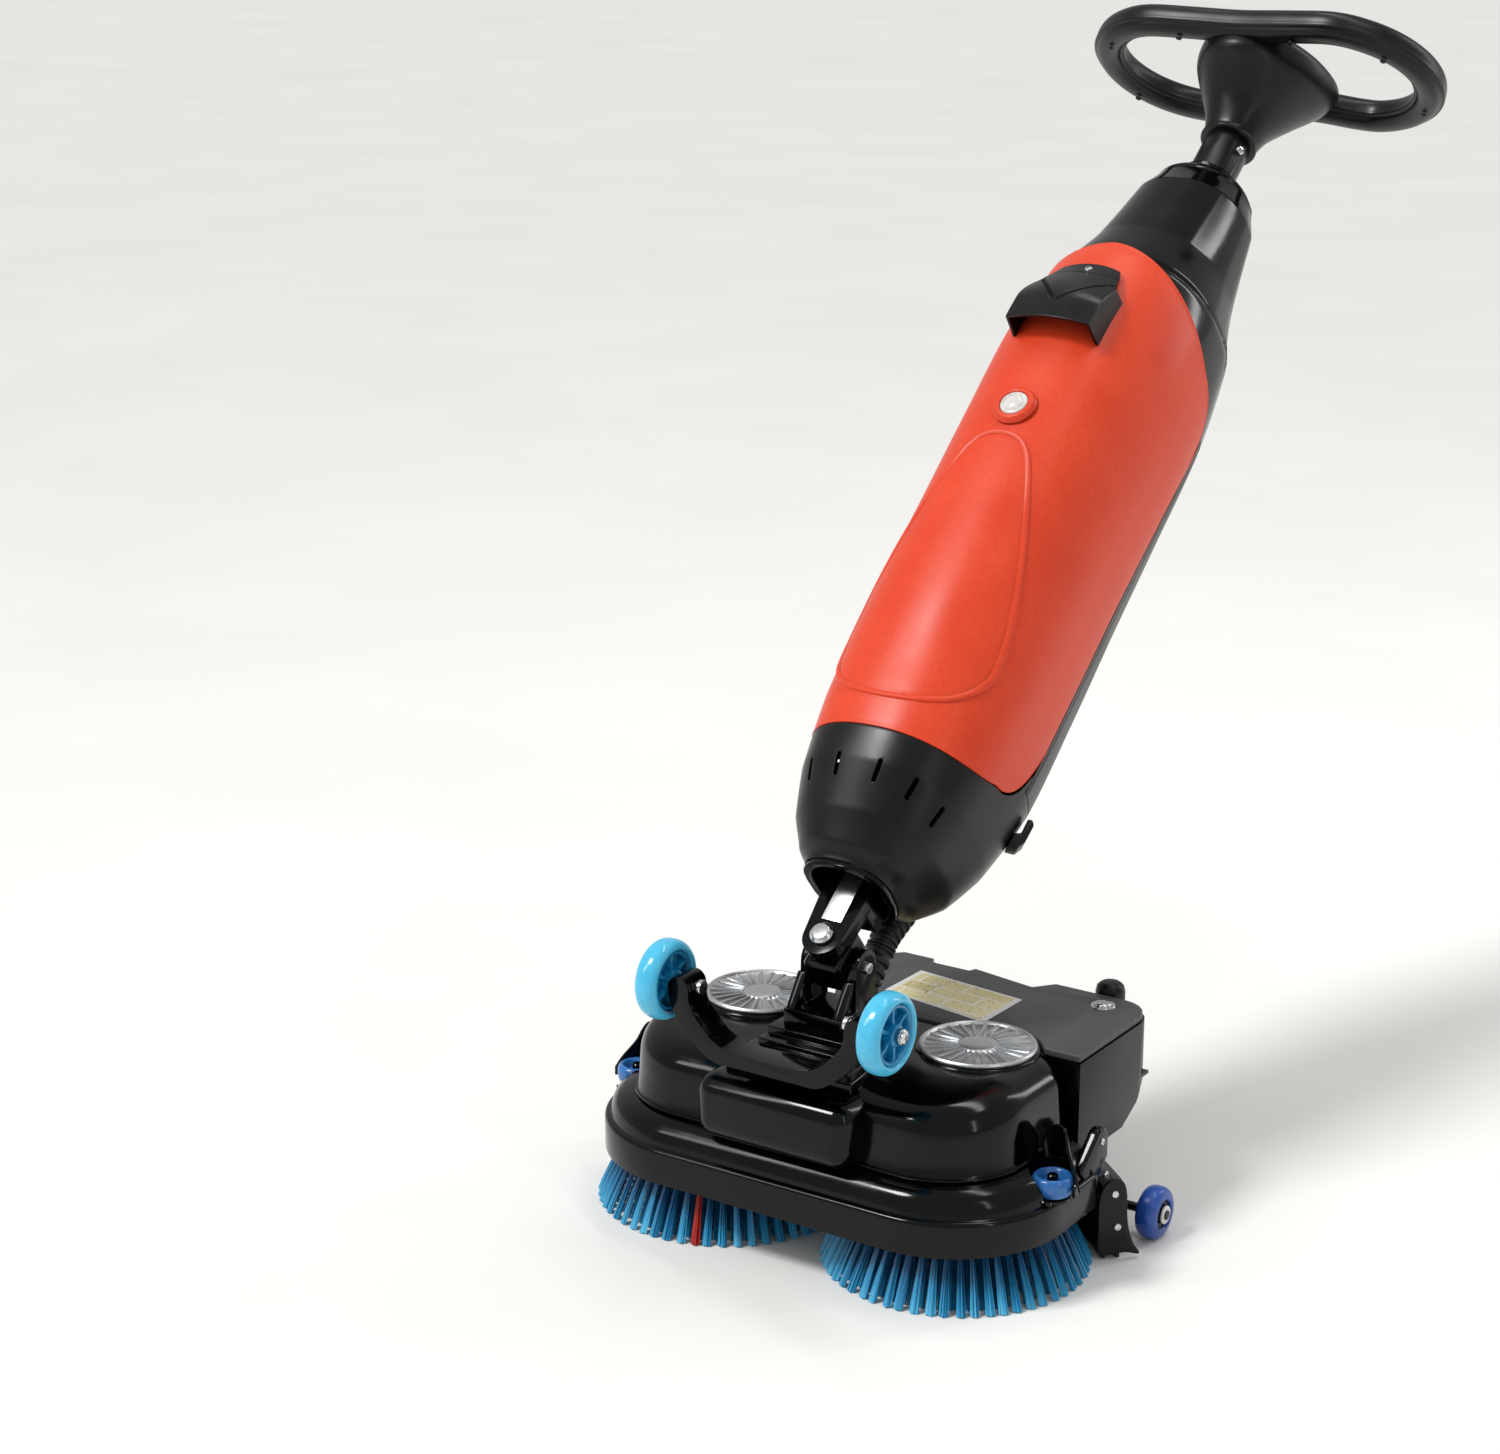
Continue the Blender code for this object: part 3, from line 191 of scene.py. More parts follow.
# %% Moulded plastics
def moulded(name, slot, shade, light, roughness, drift, grain_mm, depth_mm, **sockets):
    """A moulded plastic: two close colours, a roughness with its drift, and a grain with its depth."""
    tree, shader = finish(name, slot, roughness, ior=1.5, **sockets)
    place = add(tree, "TexCoord").outputs["Object"]
    slow = add(tree, "TexNoise", {"Scale": 1 / 0.055, "Detail": 3.0}, Vector=place)
    spots = add(tree, "TexNoise", {"Scale": 1 / 0.004, "Detail": 4.0}, Vector=place)
    blend = add(tree, "Math", {"operation": "MULTIPLY"})
    tree.links.new(blend.inputs[0], slow.outputs["Fac"])
    tree.links.new(blend.inputs[1], spots.outputs["Fac"])
    ramp = add(tree, "ValToRGB", Fac=blend.outputs[0])
    two_tones(ramp, 0.14, shade, 0.40, light)
    tree.links.new(shader.inputs["Base Color"], ramp.outputs["Color"])
    span = {"To Min": roughness - drift, "To Max": roughness + drift, "From Min": 0.3, "From Max": 0.7}
    gloss = add(tree, "MapRange", span, Value=slow.outputs["Fac"])
    tree.links.new(shader.inputs["Roughness"], gloss.outputs["Result"])
    grain = add(tree, "TexNoise", {"Scale": PER_METRE / grain_mm, "Detail": 2.0}, Vector=place)
    bump = add(tree, "Bump", {"Strength": 0.6, "Distance": depth_mm * MM}, Height=grain.outputs["Fac"])
    tree.links.new(shader.inputs["Normal"], bump.outputs["Normal"])
    return shader


moulded("gloss_black_abs", "black_gloss", "020203", "050506", 0.12, 0.04, 2.2, 0.008, Specular_IOR_Level=0.24)
moulded("satin_black_abs", "black_satin", "060607", "0C0C0E", 0.33, 0.06, 0.9, 0.020, Specular_IOR_Level=0.28)
moulded("dark_grey_abs", "dark_grey", "3A3B3C", "484949", 0.46, 0.05, 0.9, 0.025)
moulded("red_orange_abs", "tank_red", "D03E20", "D84626", 0.36, 0.04, 1.2, 0.008, Specular_IOR_Level=0.26)
moulded("blue_nylon", "hub_blue", "0F6E9E", "1F8CBC", 0.22, 0.05, 1.0, 0.008)
moulded("dark_blue_polyurethane", "roller_blue", "153F8E", "2452A8", 0.28, 0.05, 1.0, 0.010)
moulded("mid_blue_nylon", "roller_blue", "22599C", "3577B8", 0.25, 0.05, 1.0, 0.010)
moulded("silver_white_cap", "button_cap", "C9C6C3", "E9E7E4", 0.18, 0.04, 1.5, 0.006)
moulded("warning_red_nylon", "bristle", "8E1A14", "B3261C", 0.45, 0.05, 0.6, 0.010)
moulded("circuit_board_laminate", "circuit_board", "124A22", "1E6B33", 0.40, 0.05, 0.6, 0.010)
print("plastics:", ", ".join(FINISHES))

# %% [markdown]
# The tyres and rollers are cast polyurethane, clear enough that light enters and comes out again a little
# further on. Black EPDM rubber is the opposite: matt, with a bloom of grey dust. Nylon bristles carry
# painted shade: darker towards the root, where the strands shade each other, and lighter towards the tip.

# %% Polyurethane, rubber and nylon
tyre = moulded("light_blue_polyurethane", "tyre_blue", "4AB6DC", "58C2E3", 0.16, 0.03, 3.0, 0.006)
tyre.inputs["Subsurface Weight"].default_value = 0.35
tyre.inputs["Subsurface Radius"].default_value = (0.3, 0.8, 1.0)
tyre.inputs["Subsurface Scale"].default_value = 0.004
moulded("black_epdm_rubber", "rubber", "0B0B0B", "1B1B1A", 0.55, 0.08, 0.5, 0.030)

tree, shader = finish("crimped_blue_nylon", "bristle", 0.36, ior=1.53)
place = add(tree, "TexCoord").outputs["Object"]
height = add(tree, "SeparateXYZ", Vector=place).outputs["Z"]
# Painted shade: the colour runs from light at the tips on the floor to dark at the roots under the deck.
painted_root_shade = add(tree, "MapRange", {"From Max": 0.052}, Value=height)
strand = add(tree, "Attribute", {"attribute_name": "strand"})
mix = add(tree, "Math", {"operation": "MULTIPLY_ADD"})
tree.links.new(mix.inputs[0], strand.outputs["Fac"])
mix.inputs[1].default_value = 0.55
tree.links.new(mix.inputs[2], painted_root_shade.outputs["Result"])
ramp = add(tree, "ValToRGB", Fac=mix.outputs[0])
two_tones(ramp, 0.05, "5CC0E4", 1.25 / 1.4, "0E4A74")
middle = ramp.color_ramp.elements.new(0.42)
middle.color = linear("2E90BE")
tree.links.new(shader.inputs["Base Color"], ramp.outputs["Color"])

# %% [markdown]
# The metals keep the shader's own IOR. The vent caps are die-cast aluminium, blasted to a soft grey. The
# pins, bolts and stem are zinc-plated steel, which shows faint turning marks round its axis.


# %% Metals
def metal(name, slot, shade, light, roughness, drift, grain_mm, stretch=(1, 1, 1)):
    """A metal whose grain can be stretched along an axis, as turning and brushing do."""
    tree, shader = finish(name, slot, roughness, metallic=1.0)
    place = add(tree, "TexCoord").outputs["Object"]
    turned = add(tree, "Mapping", {"Scale": stretch}, Vector=place).outputs["Vector"]
    grain = add(tree, "TexNoise", {"Scale": PER_METRE / grain_mm, "Detail": 4.0}, Vector=turned)
    ramp = add(tree, "ValToRGB", Fac=grain.outputs["Fac"])
    two_tones(ramp, 0.3, shade, 0.7, light)
    tree.links.new(shader.inputs["Base Color"], ramp.outputs["Color"])
    span = {"To Min": roughness - drift, "To Max": roughness + drift}
    gloss = add(tree, "MapRange", span, Value=grain.outputs["Fac"])
    tree.links.new(shader.inputs["Roughness"], gloss.outputs["Result"])
    bump = add(tree, "Bump", {"Strength": 0.5, "Distance": 0.02 * MM}, Height=grain.outputs["Fac"])
    tree.links.new(shader.inputs["Normal"], bump.outputs["Normal"])


metal("blasted_cast_aluminium", "cast_silver", "B4B6B8", "D6D7D8", 0.36, 0.08, 1.2)
metal("zinc_plated_steel", "steel", "B4B5B8", "DCDDDF", 0.20, 0.06, 2.0, (1, 1, 8))
metal("brushed_channel_steel", "cast_silver", "B9BBBD", "DFE0E1", 0.26, 0.07, 1.0, (10, 1, 1))

# %% [markdown]
# The studio floor is pale, slightly warm and a little uneven, so that it never looks like a blank page.

# %% Floor finish
tree, shader = finish("pale_sealed_floor", "", 0.60, ior=1.40)
place = add(tree, "TexCoord").outputs["Object"]
cloud = add(tree, "TexNoise", {"Scale": 2.2, "Detail": 5.0}, Vector=place)
ramp = add(tree, "ValToRGB", Fac=cloud.outputs["Fac"])
two_tones(ramp, 0.3, "ECEBE8", 0.7, "F1F0ED")
tree.links.new(shader.inputs["Base Color"], ramp.outputs["Color"])
floor.data.materials.append(FINISHES["pale_sealed_floor"][0])

# %% [markdown]
# ## The working helpers
# An operator acts on whatever is selected, so each step begins by selecting one piece and nothing else. A
# finished piece is applied to the row frame, shaded smooth except at real edges, given its finish, and
# told which moving body it rides on.


# %% Selecting and finishing a piece
def only(obj, mode="OBJECT"):
    """Selects one object alone, in object or edit mode."""
    if bpy.context.object and bpy.context.object.mode != "OBJECT":
        bpy.ops.object.mode_set(mode="OBJECT")
    bpy.ops.object.select_all(action="DESELECT")
    obj.hide_set(False)
    obj.select_set(True)
    bpy.context.view_layer.objects.active = obj
    if mode == "EDIT":
        bpy.ops.object.mode_set(mode="EDIT")
        bpy.ops.mesh.select_all(action="SELECT")


def clean(obj, merge=0.00001, outward=True):
    """Merges doubled points and turns the faces outwards."""
    only(obj, "EDIT")
    bpy.ops.mesh.remove_doubles(threshold=merge)
    if outward:
        bpy.ops.mesh.normals_make_consistent(inside=False)
    bpy.ops.object.mode_set(mode="OBJECT")
    return obj


def modifier(obj, kind, **settings):
    """Adds a modifier and applies it at once."""
    only(obj)
    step = obj.modifiers.new(kind.lower(), kind)
    for key, value in settings.items():
        setattr(step, key, value)
    bpy.ops.object.modifier_apply(modifier=step.name)
    return obj


def bevelled(obj, width, segments, angle):
    """Rounds the edges that are sharper than an angle."""
    return modifier(
        obj, "BEVEL", width=width, segments=segments, limit_method="ANGLE", angle_limit=radians(angle)
    )


def trimmed(obj, point, normal, **options):
    """Cuts a piece at a plane; the options say which side goes and whether the cut is closed."""
    only(obj, "EDIT")
    bpy.ops.mesh.bisect(plane_co=point, plane_no=normal, **options)
    bpy.ops.object.mode_set(mode="OBJECT")
    return obj


def place_in(obj, place):
    """Sets a piece made in the deck's or the body's frame down in the row frame."""
    only(obj)
    bpy.ops.object.transform_apply(location=True, rotation=True, scale=True)
    obj.data.transform(place)
    return obj


def hand_over(obj, name, body, finish_name, stands_for=(), sharp=32):
    """The last step of every piece."""
    only(obj)
    obj.name = name
    obj.data.name = name
    bpy.ops.object.transform_apply(location=True, rotation=True, scale=True)
    bpy.ops.object.shade_smooth_by_angle(angle=radians(sharp))
    material, slot = FINISHES[finish_name]
    obj.data.materials.clear()
    obj.data.materials.append(material)
    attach(obj, body)
    if stands_for:
        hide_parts(*stands_for)
    return obj


def join(pieces):
    """Joins pieces into the first one."""
    only(pieces[0])
    for other in pieces[1:]:
        other.select_set(True)
    bpy.ops.object.join()
    return bpy.context.object


# %% [markdown]
# Most hard parts already have their right shape. What they lack is the small radius that every moulded or
# cast edge has, because that radius is what catches the light. So a part is copied, its loose triangles are
# merged into whole faces, and its edges are bevelled. The copy then stands for the mechanical part.


# %% A bevelled copy of a mechanical part
def softened(node, body, finish_name, edge_mm=0.8, segments=3, limit=32, sharp=32):
    """A copy of a mechanical part with rounded edges, which is shown in its place."""
    copy = frame["nodes"][node].copy()
    copy.data = frame["nodes"][node].data.copy()
    bpy.context.scene.collection.objects.link(copy)
    for key in list(copy.keys()):
        del copy[key]
    copy.parent = None
    only(copy, "EDIT")
    bpy.ops.mesh.remove_doubles(threshold=0.00001)
    bpy.ops.mesh.dissolve_limited(angle_limit=radians(0.6))
    bpy.ops.object.mode_set(mode="OBJECT")
    if edge_mm:
        modifier(
            copy, "BEVEL", width=edge_mm * MM, segments=segments, limit_method="ANGLE",
            angle_limit=radians(limit), use_clamp_overlap=True, harden_normals=False,
        )
    return hand_over(copy, node + "_skin", body, finish_name, (node,), sharp)


# %% [markdown]
# Round things are raised from a circle, ring by ring: each ring is extruded from the last and scaled, as a
# turner would work along a profile. Curved skins start as a flat grid whose points are then laid on the
# surface, and ribbed or round bars are a grid rolled round a path.


# %% Turned pieces, laid skins and swept bars
def turned(profile, place=(0, 0, 0), axis="Z", steps=48):
    """A closed turned solid from (radius, height) pairs; a profile that ends off its axis gets a flat cap."""
    bpy.ops.object.select_all(action="DESELECT")
    radius, height = profile[0]
    bpy.ops.mesh.primitive_circle_add(vertices=steps, radius=radius, location=(0, 0, height))
    obj = bpy.context.object
    bpy.ops.object.transform_apply(location=True)
    only(obj, "EDIT")
    for next_radius, next_height in profile[1:]:
        bpy.ops.mesh.extrude_edges_move(TRANSFORM_OT_translate={"value": (0, 0, next_height - height)})
        share = next_radius / radius
        bpy.ops.transform.resize(value=(share, share, 1), center_override=(0, 0, next_height))
        radius, height = next_radius, next_height
    bpy.ops.object.mode_set(mode="OBJECT")
    turn = {"X": Matrix.Rotation(pi / 2, 4, "Y"), "Y": Matrix.Rotation(-pi / 2, 4, "X"), "Z": Matrix()}[axis]
    obj.data.transform(Matrix.Translation(place) @ turn)
    only(obj, "EDIT")
    bpy.ops.mesh.remove_doubles(threshold=0.00001)
    bpy.ops.mesh.fill_holes(sides=0)
    return clean(obj)


def laid(place, across, along, closed=False):
    """A grid whose points are moved to place(u, v), with u and v from 0 to 1."""
    bpy.ops.object.select_all(action="DESELECT")
    bpy.ops.mesh.primitive_grid_add(x_subdivisions=across, y_subdivisions=along, size=1)
    obj = bpy.context.object
    for vertex in obj.data.vertices:
        vertex.co = place(vertex.co.x + 0.5, vertex.co.y + 0.5)
    if closed:
        clean(obj)
    middle = sum((v.co for v in obj.data.vertices), Vector()) / len(obj.data.vertices)
    outward = sum((face.center - middle).dot(face.normal) * face.area for face in obj.data.polygons)
    if outward < 0:
        obj.data.flip_normals()
    return obj


def curved(a, b, c, d, f):
    """The place between b and c on a smooth curve that also heads for a and d; f runs from 0 to 1."""
    return 0.5 * (2 * b + (c - a) * f + (2 * a - 5 * b + 4 * c - d) * f**2 + (3 * b - a - 3 * c + d) * f**3)


print("helpers ready")

# %% [markdown]
# ## The leaning body
# Every section of the body is a rounded box, between an ellipse and a rectangle. Its half width, front and
# rear are given at a few heights up the lean, and a smooth curve joins them. The tank, the bowl and the cap
# are all laid on this one surface, so their edges meet as the moulded halves of the real body do.

# %% The body's surface
SECTIONS = (  # height up the body, half width, front, rear
    (0.052, 0.040, 0.034, 0.050),
    (0.065, 0.052, 0.046, 0.072),
    (0.090, 0.067, 0.060, 0.092),
    (0.130, 0.079, 0.076, 0.108),
    (0.200, 0.088, 0.090, 0.120),
    (0.300, 0.089, 0.104, 0.116),
    (0.400, 0.088, 0.112, 0.110),
    (0.500, 0.089, 0.117, 0.103),
    (0.600, 0.090, 0.119, 0.094),
    (0.680, 0.084, 0.106, 0.078),
    (0.740, 0.071, 0.084, 0.058),
    (0.820, 0.061, 0.066, 0.034),
    (0.852, 0.050, 0.054, 0.022),
)
FRONT_ROUND, REAR_ROUND = 2.3, 2.8
TUBE_Y = -0.012
SEAM, GREY = 0.0445, 0.0505  # where the front tank ends and where the rear tank begins
CAP_TOP = 0.852


def between(height):
    """Half width, front and rear at a height, from a smooth curve through the sections."""
    last = len(SECTIONS) - 1
    k = max([i for i in range(last) if SECTIONS[i][0] <= height] or [0])
    a, b, c, d = (Vector(SECTIONS[min(max(k + i, 0), last)][1:]) for i in (-1, 0, 1, 2))
    f = (height - SECTIONS[k][0]) / (SECTIONS[k + 1][0] - SECTIONS[k][0])
    return curved(a, b, c, d, f)


def power(value, exponent):
    return abs(value) ** exponent * (1 if value >= 0 else -1)


def skin_point(height, angle, lift=0.0):
    """A point of the body's outside; angle 0 is +X and -90 degrees is the front."""
    half, front, rear = between(height)
    depth, rounding = (front, FRONT_ROUND) if sin(angle) < 0 else (rear, REAR_ROUND)
    point = Vector((half * power(cos(angle), 2 / rounding), depth * power(sin(angle), 2 / rounding), height))
    outward = Vector((point.x / half**2, point.y / depth**2, 0))
    return point + outward.normalized() * lift


def angle_at(height, y):
    """The angle at which the surface reaches a place behind the body's axis."""
    return asin(min(1, (y / between(height)[2]) ** (REAR_ROUND / 2)))


def angle_of(height, x):
    """The angle at which the front surface reaches a place beside the middle."""
    share = min(1, abs(x) / between(height)[0]) ** (FRONT_ROUND / 2)
    return -pi / 2 + asin(share) * (1 if x >= 0 else -1)


def seam_share(angle):
    """0 at the front, 1 at the seam behind the front tank."""
    return min(1, abs(angle + pi / 2) / (pi / 2 + angle_at(0.4, SEAM)))


def low_edge(share):
    """The front tank's lower edge: nearly level in front, with a big round corner at the seam."""
    return 0.1585 + 0.024 * share**4 + 0.060 * share**22


def high_edge(share):
    """The front tank's upper edge: an arch over the front that runs down to a round corner."""
    return 0.699 - 0.078 * share**1.2 - 0.020 * share**10 - 0.034 * share**40


def smooth(low, high, value):
    """0 below low, 1 above high, and an even curve between."""
    f = min(1, max(0, (value - low) / (high - low)))
    return f * f * (3 - 2 * f)


# %% [markdown]
# The front tank is blow-moulded in a red-orange plastic. A long bullet-shaped panel stands a millimetre
# proud of its front, inside a fine rounded lip. The grid is close enough for that step to be real shape, and
# the wall is then thickened and its open edge rounded.

# %% The raised panel's outline
PANEL = ((0.186, 0.0), (0.1875, 0.022), (0.193, 0.042), (0.204, 0.058), (0.224, 0.0700), (0.250, 0.0735),
         (0.295, 0.0695), (0.343, 0.0605), (0.395, 0.0465), (0.430, 0.0345), (0.445, 0.0255),
         (0.453, 0.0150), (0.456, 0.0))


def panel_half(height):
    """Half the panel's width at a height."""
    for (z0, x0), (z1, x1) in zip(PANEL, PANEL[1:]):
        if z0 <= height <= z1:
            f = (height - z0) / (z1 - z0)
            return x0 + (x1 - x0) * f
    return 0


def panel_distance(x, height):
    """How far a point lies inside the panel's edge; negative outside."""
    best = min(
        (Vector((abs(x), height)) - Vector((x0, z0)) - (Vector((x1, z1)) - Vector((x0, z0)))
         * min(1, max(0, (Vector((abs(x), height)) - Vector((x0, z0))).dot(Vector((x1 - x0, z1 - z0)))
                      / ((x1 - x0) ** 2 + (z1 - z0) ** 2)))).length
        for (z0, x0), (z1, x1) in zip(PANEL, PANEL[1:])
    )
    return best if abs(x) < panel_half(height) else -best


# %% The front tank
def tank_place(u, v):
    side = 2 * u - 1
    share = 1 - (1 - abs(side)) ** 1.35
    low, high = low_edge(share), high_edge(share)
    height = low + (high - low) * v
    reach = angle_at(height, SEAM) + pi / 2
    angle = -pi / 2 + (reach * share if side >= 0 else -reach * share)
    point = skin_point(height, angle)
    lift = 0.0010 * smooth(0.0005, 0.0030, panel_distance(point.x, height)) if point.y < -0.02 else 0
    lift += 0.0007 * smooth(0.0030, 0, min(height - low, high - height) + 0.001)  # a rolled lip at the edges
    return skin_point(height, angle, lift - 0.0002)


tank = laid(tank_place, 220, 196)
place_in(tank, BODY)
modifier(tank, "SOLIDIFY", thickness=0.0026, offset=-1, use_even_offset=True)
bevelled(tank, 0.0009, 3, 55)
hand_over(tank, "clean_tank_skin", "body", "red_orange_abs", ("clean_tank",), 40)
print("front tank faces", len(tank.data.polygons))

# The panel's edge: a fine rounded lip along its outline, steep outside and easy inside.
RIM = ((-0.0030, 0.0008), (-0.0018, 0.0014), (-0.0006, 0.0019), (0.0004, 0.0019), (0.0010, 0.0014),
       (0.0013, 0.0006),
       (0.0014, -0.0006))
EDGE = [Vector((x, z)) for z, x in PANEL] + [Vector((-x, z)) for z, x in reversed(PANEL[1:-1])]


def edge_at(share):
    """A point on the panel's outline, on a closed smooth curve."""
    k = int(share * len(EDGE))
    a, b, c, d = (EDGE[(k + i) % len(EDGE)] for i in (-1, 0, 1, 2))
    f = share * len(EDGE) - k
    return curved(a, b, c, d, f)


def rim_place(u, v):
    ahead = (edge_at((u + 0.002) % 1) - edge_at((u - 0.002) % 1)).normalized()
    aside, lift = RIM[round(v * (len(RIM) - 1))]
    spot = edge_at(u % 1) + Vector((ahead.y, -ahead.x)) * aside
    return skin_point(spot.y, angle_of(spot.y, spot.x), lift)


rim = laid(rim_place, 420, len(RIM) - 1, closed=True)
hand_over(place_in(rim, BODY), "tank_panel_edge", "body", "red_orange_abs", (), 50)

# %% [markdown]
# The bowl below is one satin black moulding. Its upper edge follows the red tank down into the corner and
# steps down behind the seam. Short upright slots let the suction fan breathe; they are cut right through.

# %% The bowl
BOWL_LOW, BOWL_TOP_BEHIND = 0.0525, 0.1994


def wrapped_angle(angle):
    """The same place measured from the front, between -180 and 180 degrees either way."""
    return -pi / 2 - abs(((angle + pi / 2 + pi) % tau) - pi)


def bowl_top(angle):
    away = abs(wrapped_angle(angle) + pi / 2)
    seam = pi / 2 + angle_at(0.24, SEAM + 0.0004)
    return low_edge(seam_share(wrapped_angle(angle))) - 0.0006 if away < seam else BOWL_TOP_BEHIND


def bowl_place(u, v):
    angle = -pi / 2 + tau * u
    top = bowl_top(angle)
    height = BOWL_LOW + (top - BOWL_LOW) * v**1.15
    lip = 0.0012 * smooth(0.0045, 0.0, height - BOWL_LOW)
    return skin_point(height, angle, lip - 0.0004)


bowl = laid(bowl_place, 180, 46, closed=True)
modifier(bowl, "SOLIDIFY", thickness=0.0028, offset=-1, use_even_offset=True)
slots = []
for x, height in ((0.0196, 0.1225), (0.0496, 0.1195), (0.0680, 0.1130)):
    for side in (-1, 1):
        at = skin_point(height, angle_of(height, side * x))
        out = Vector((at.x / 0.079**2, at.y / 0.076**2, 0)).normalized()
        bpy.ops.object.select_all(action="DESELECT")
        bpy.ops.mesh.primitive_cylinder_add(vertices=20, radius=0.0023, depth=0.02)
        slot = bpy.context.object
        slot.data.transform(Matrix.Rotation(pi / 2, 4, "X"))
        for vertex in slot.data.vertices:
            vertex.co.z += 0.0075 if vertex.co.z > 0 else -0.0075
        slot.data.transform(Matrix.Translation(at) @ out.to_track_quat("Y", "Z").to_matrix().to_4x4())
        slots.append(slot)
cutter = join(slots)
modifier(bowl, "BOOLEAN", object=cutter, operation="DIFFERENCE", solver="EXACT")
bpy.data.objects.remove(cutter)
place_in(bowl, BODY)
bevelled(bowl, 0.0006, 2, 50)
hand_over(bowl, "bowl_skin", "body", "satin_black_abs", ("bowl",), 40)
print("bowl faces", len(bowl.data.polygons))

# %% [markdown]
# The black cap is the gloss black top of the body. Above a shoulder it necks in to a narrower bell with a
# soft groove where the two meet, and at the top it rolls over into a collar round the handle tube.


# %% The top cap
CAP_BOTTOM_BEHIND = 0.6002
ROLL, ROLL_START, COLLAR = 0.006, 0.86, 0.0262  # the roll's drop, where it starts, and the collar's radius


def cap_bottom(angle):
    away = abs(wrapped_angle(angle) + pi / 2)
    seam = pi / 2 + angle_at(0.57, SEAM + 0.0004)
    return high_edge(seam_share(wrapped_angle(angle))) + 0.0006 if away < seam else CAP_BOTTOM_BEHIND


def cap_place(u, v):
    angle = -pi / 2 + tau * u
    low = cap_bottom(angle)
    if v < ROLL_START:
        height = low + (CAP_TOP - ROLL - low) * (v / ROLL_START)
        shoulder = 0.688 + 0.006 * sin(angle)
        step = -0.0030 * smooth(shoulder - 0.001, shoulder + 0.004, height) - 0.0016 * (
            smooth(shoulder, shoulder + 0.004, height) - smooth(shoulder + 0.004, shoulder + 0.010, height))
        return skin_point(height, angle, step - 0.0002)
    f = (v - ROLL_START) / (1 - ROLL_START)
    rim = skin_point(CAP_TOP - ROLL, angle, -0.0032)
    inner = Vector((COLLAR * cos(angle), TUBE_Y + COLLAR * sin(angle), 0))
    roll = 1 - cos(f * pi / 2)
    return Vector((rim.x + (inner.x - rim.x) * roll, rim.y + (inner.y - rim.y) * roll,
                   CAP_TOP - ROLL + 0.0125 * sin(f * pi / 2)))


cap = laid(cap_place, 150, 130, closed=True)
modifier(cap, "SOLIDIFY", thickness=0.0026, offset=-1, use_even_offset=True)
collar = turned(
    ((0.0228, 0.849), (0.0228, 0.8655), (0.0236, 0.8668), (0.0268, 0.8668), (0.0282, 0.8655),
     (0.0290, 0.8590),
     (0.0290, 0.849), (0.0228, 0.849)), (0, TUBE_Y, 0))
cap = place_in(join([cap, collar]), BODY)
bevelled(cap, 0.0007, 2, 60)
hand_over(cap, "top_cap_skin", "body", "gloss_black_abs", ("top_cap",), 40)


# %% [markdown]
# Behind the seam are the thin black spine and the dark grey recovery tank. The operator sees this side
# all day: it has a shallow ribbed field, and a drain cap low down where the dirty water is let out.

# %% The recovery tank
GREY_LOW, GREY_TALL = 0.2004, 0.3984
RIBS_LOW, RIB_PITCH = 0.300, 0.0145


def recovery_place(u, v):
    height = GREY_LOW + GREY_TALL * v
    start = angle_at(height, GREY + 0.0012)
    angle = start + (pi - 2 * start) * u
    point = skin_point(height, angle)
    field = smooth(0.052, 0.046, abs(point.x)) * smooth(RIBS_LOW, 0.308, height)
    field *= smooth(0.560, 0.552, height)
    ribs = 0.5 - 0.5 * cos(tau * (height - RIBS_LOW) / RIB_PITCH)
    return skin_point(height, angle, -0.0022 * field + 0.0014 * field * smooth(0.30, 0.70, ribs) - 0.0002)


recovery = laid(recovery_place, 100, 260)
modifier(recovery, "SOLIDIFY", thickness=0.0026, offset=-1, use_even_offset=True)
place_in(recovery, BODY)
bevelled(recovery, 0.0008, 2, 60)
hand_over(recovery, "recovery_tank_skin", "body", "dark_grey_abs", ("recovery_tank",), 40)
softened("spine_frame", "body", "satin_black_abs", 0.5)

DRAIN_HEIGHT, KNURLS = 0.245, 24
drain_y = between(DRAIN_HEIGHT)[2]
drain = turned(((0.0165, -0.001), (0.0165, 0.0030), (0.0150, 0.0042), (0.0130, 0.0044), (0.0118, 0.0060),
                (0.0118, 0.0100), (0.0108, 0.0112), (0.004, 0.0114)), (0, drain_y - 0.0004, DRAIN_HEIGHT),
               "Y")


def grip_place(u, v):
    """The knurled band round the drain cap."""
    r = 0.0117 + 0.0004 * cos(KNURLS * tau * u)
    return Vector((r * cos(tau * u), drain_y + 0.0052 + 0.0050 * v, DRAIN_HEIGHT + r * sin(tau * u)))


grip = laid(grip_place, 8 * KNURLS, 2, closed=True)
modifier(grip, "SOLIDIFY", thickness=0.0006, offset=1)
hand_over(place_in(join([drain, grip]), BODY), "drain_cap", "body", "satin_black_abs")

# %% [markdown]
# The power switch is a domed silver-white cap in a raised red bezel. The dome has a bright inner ring.

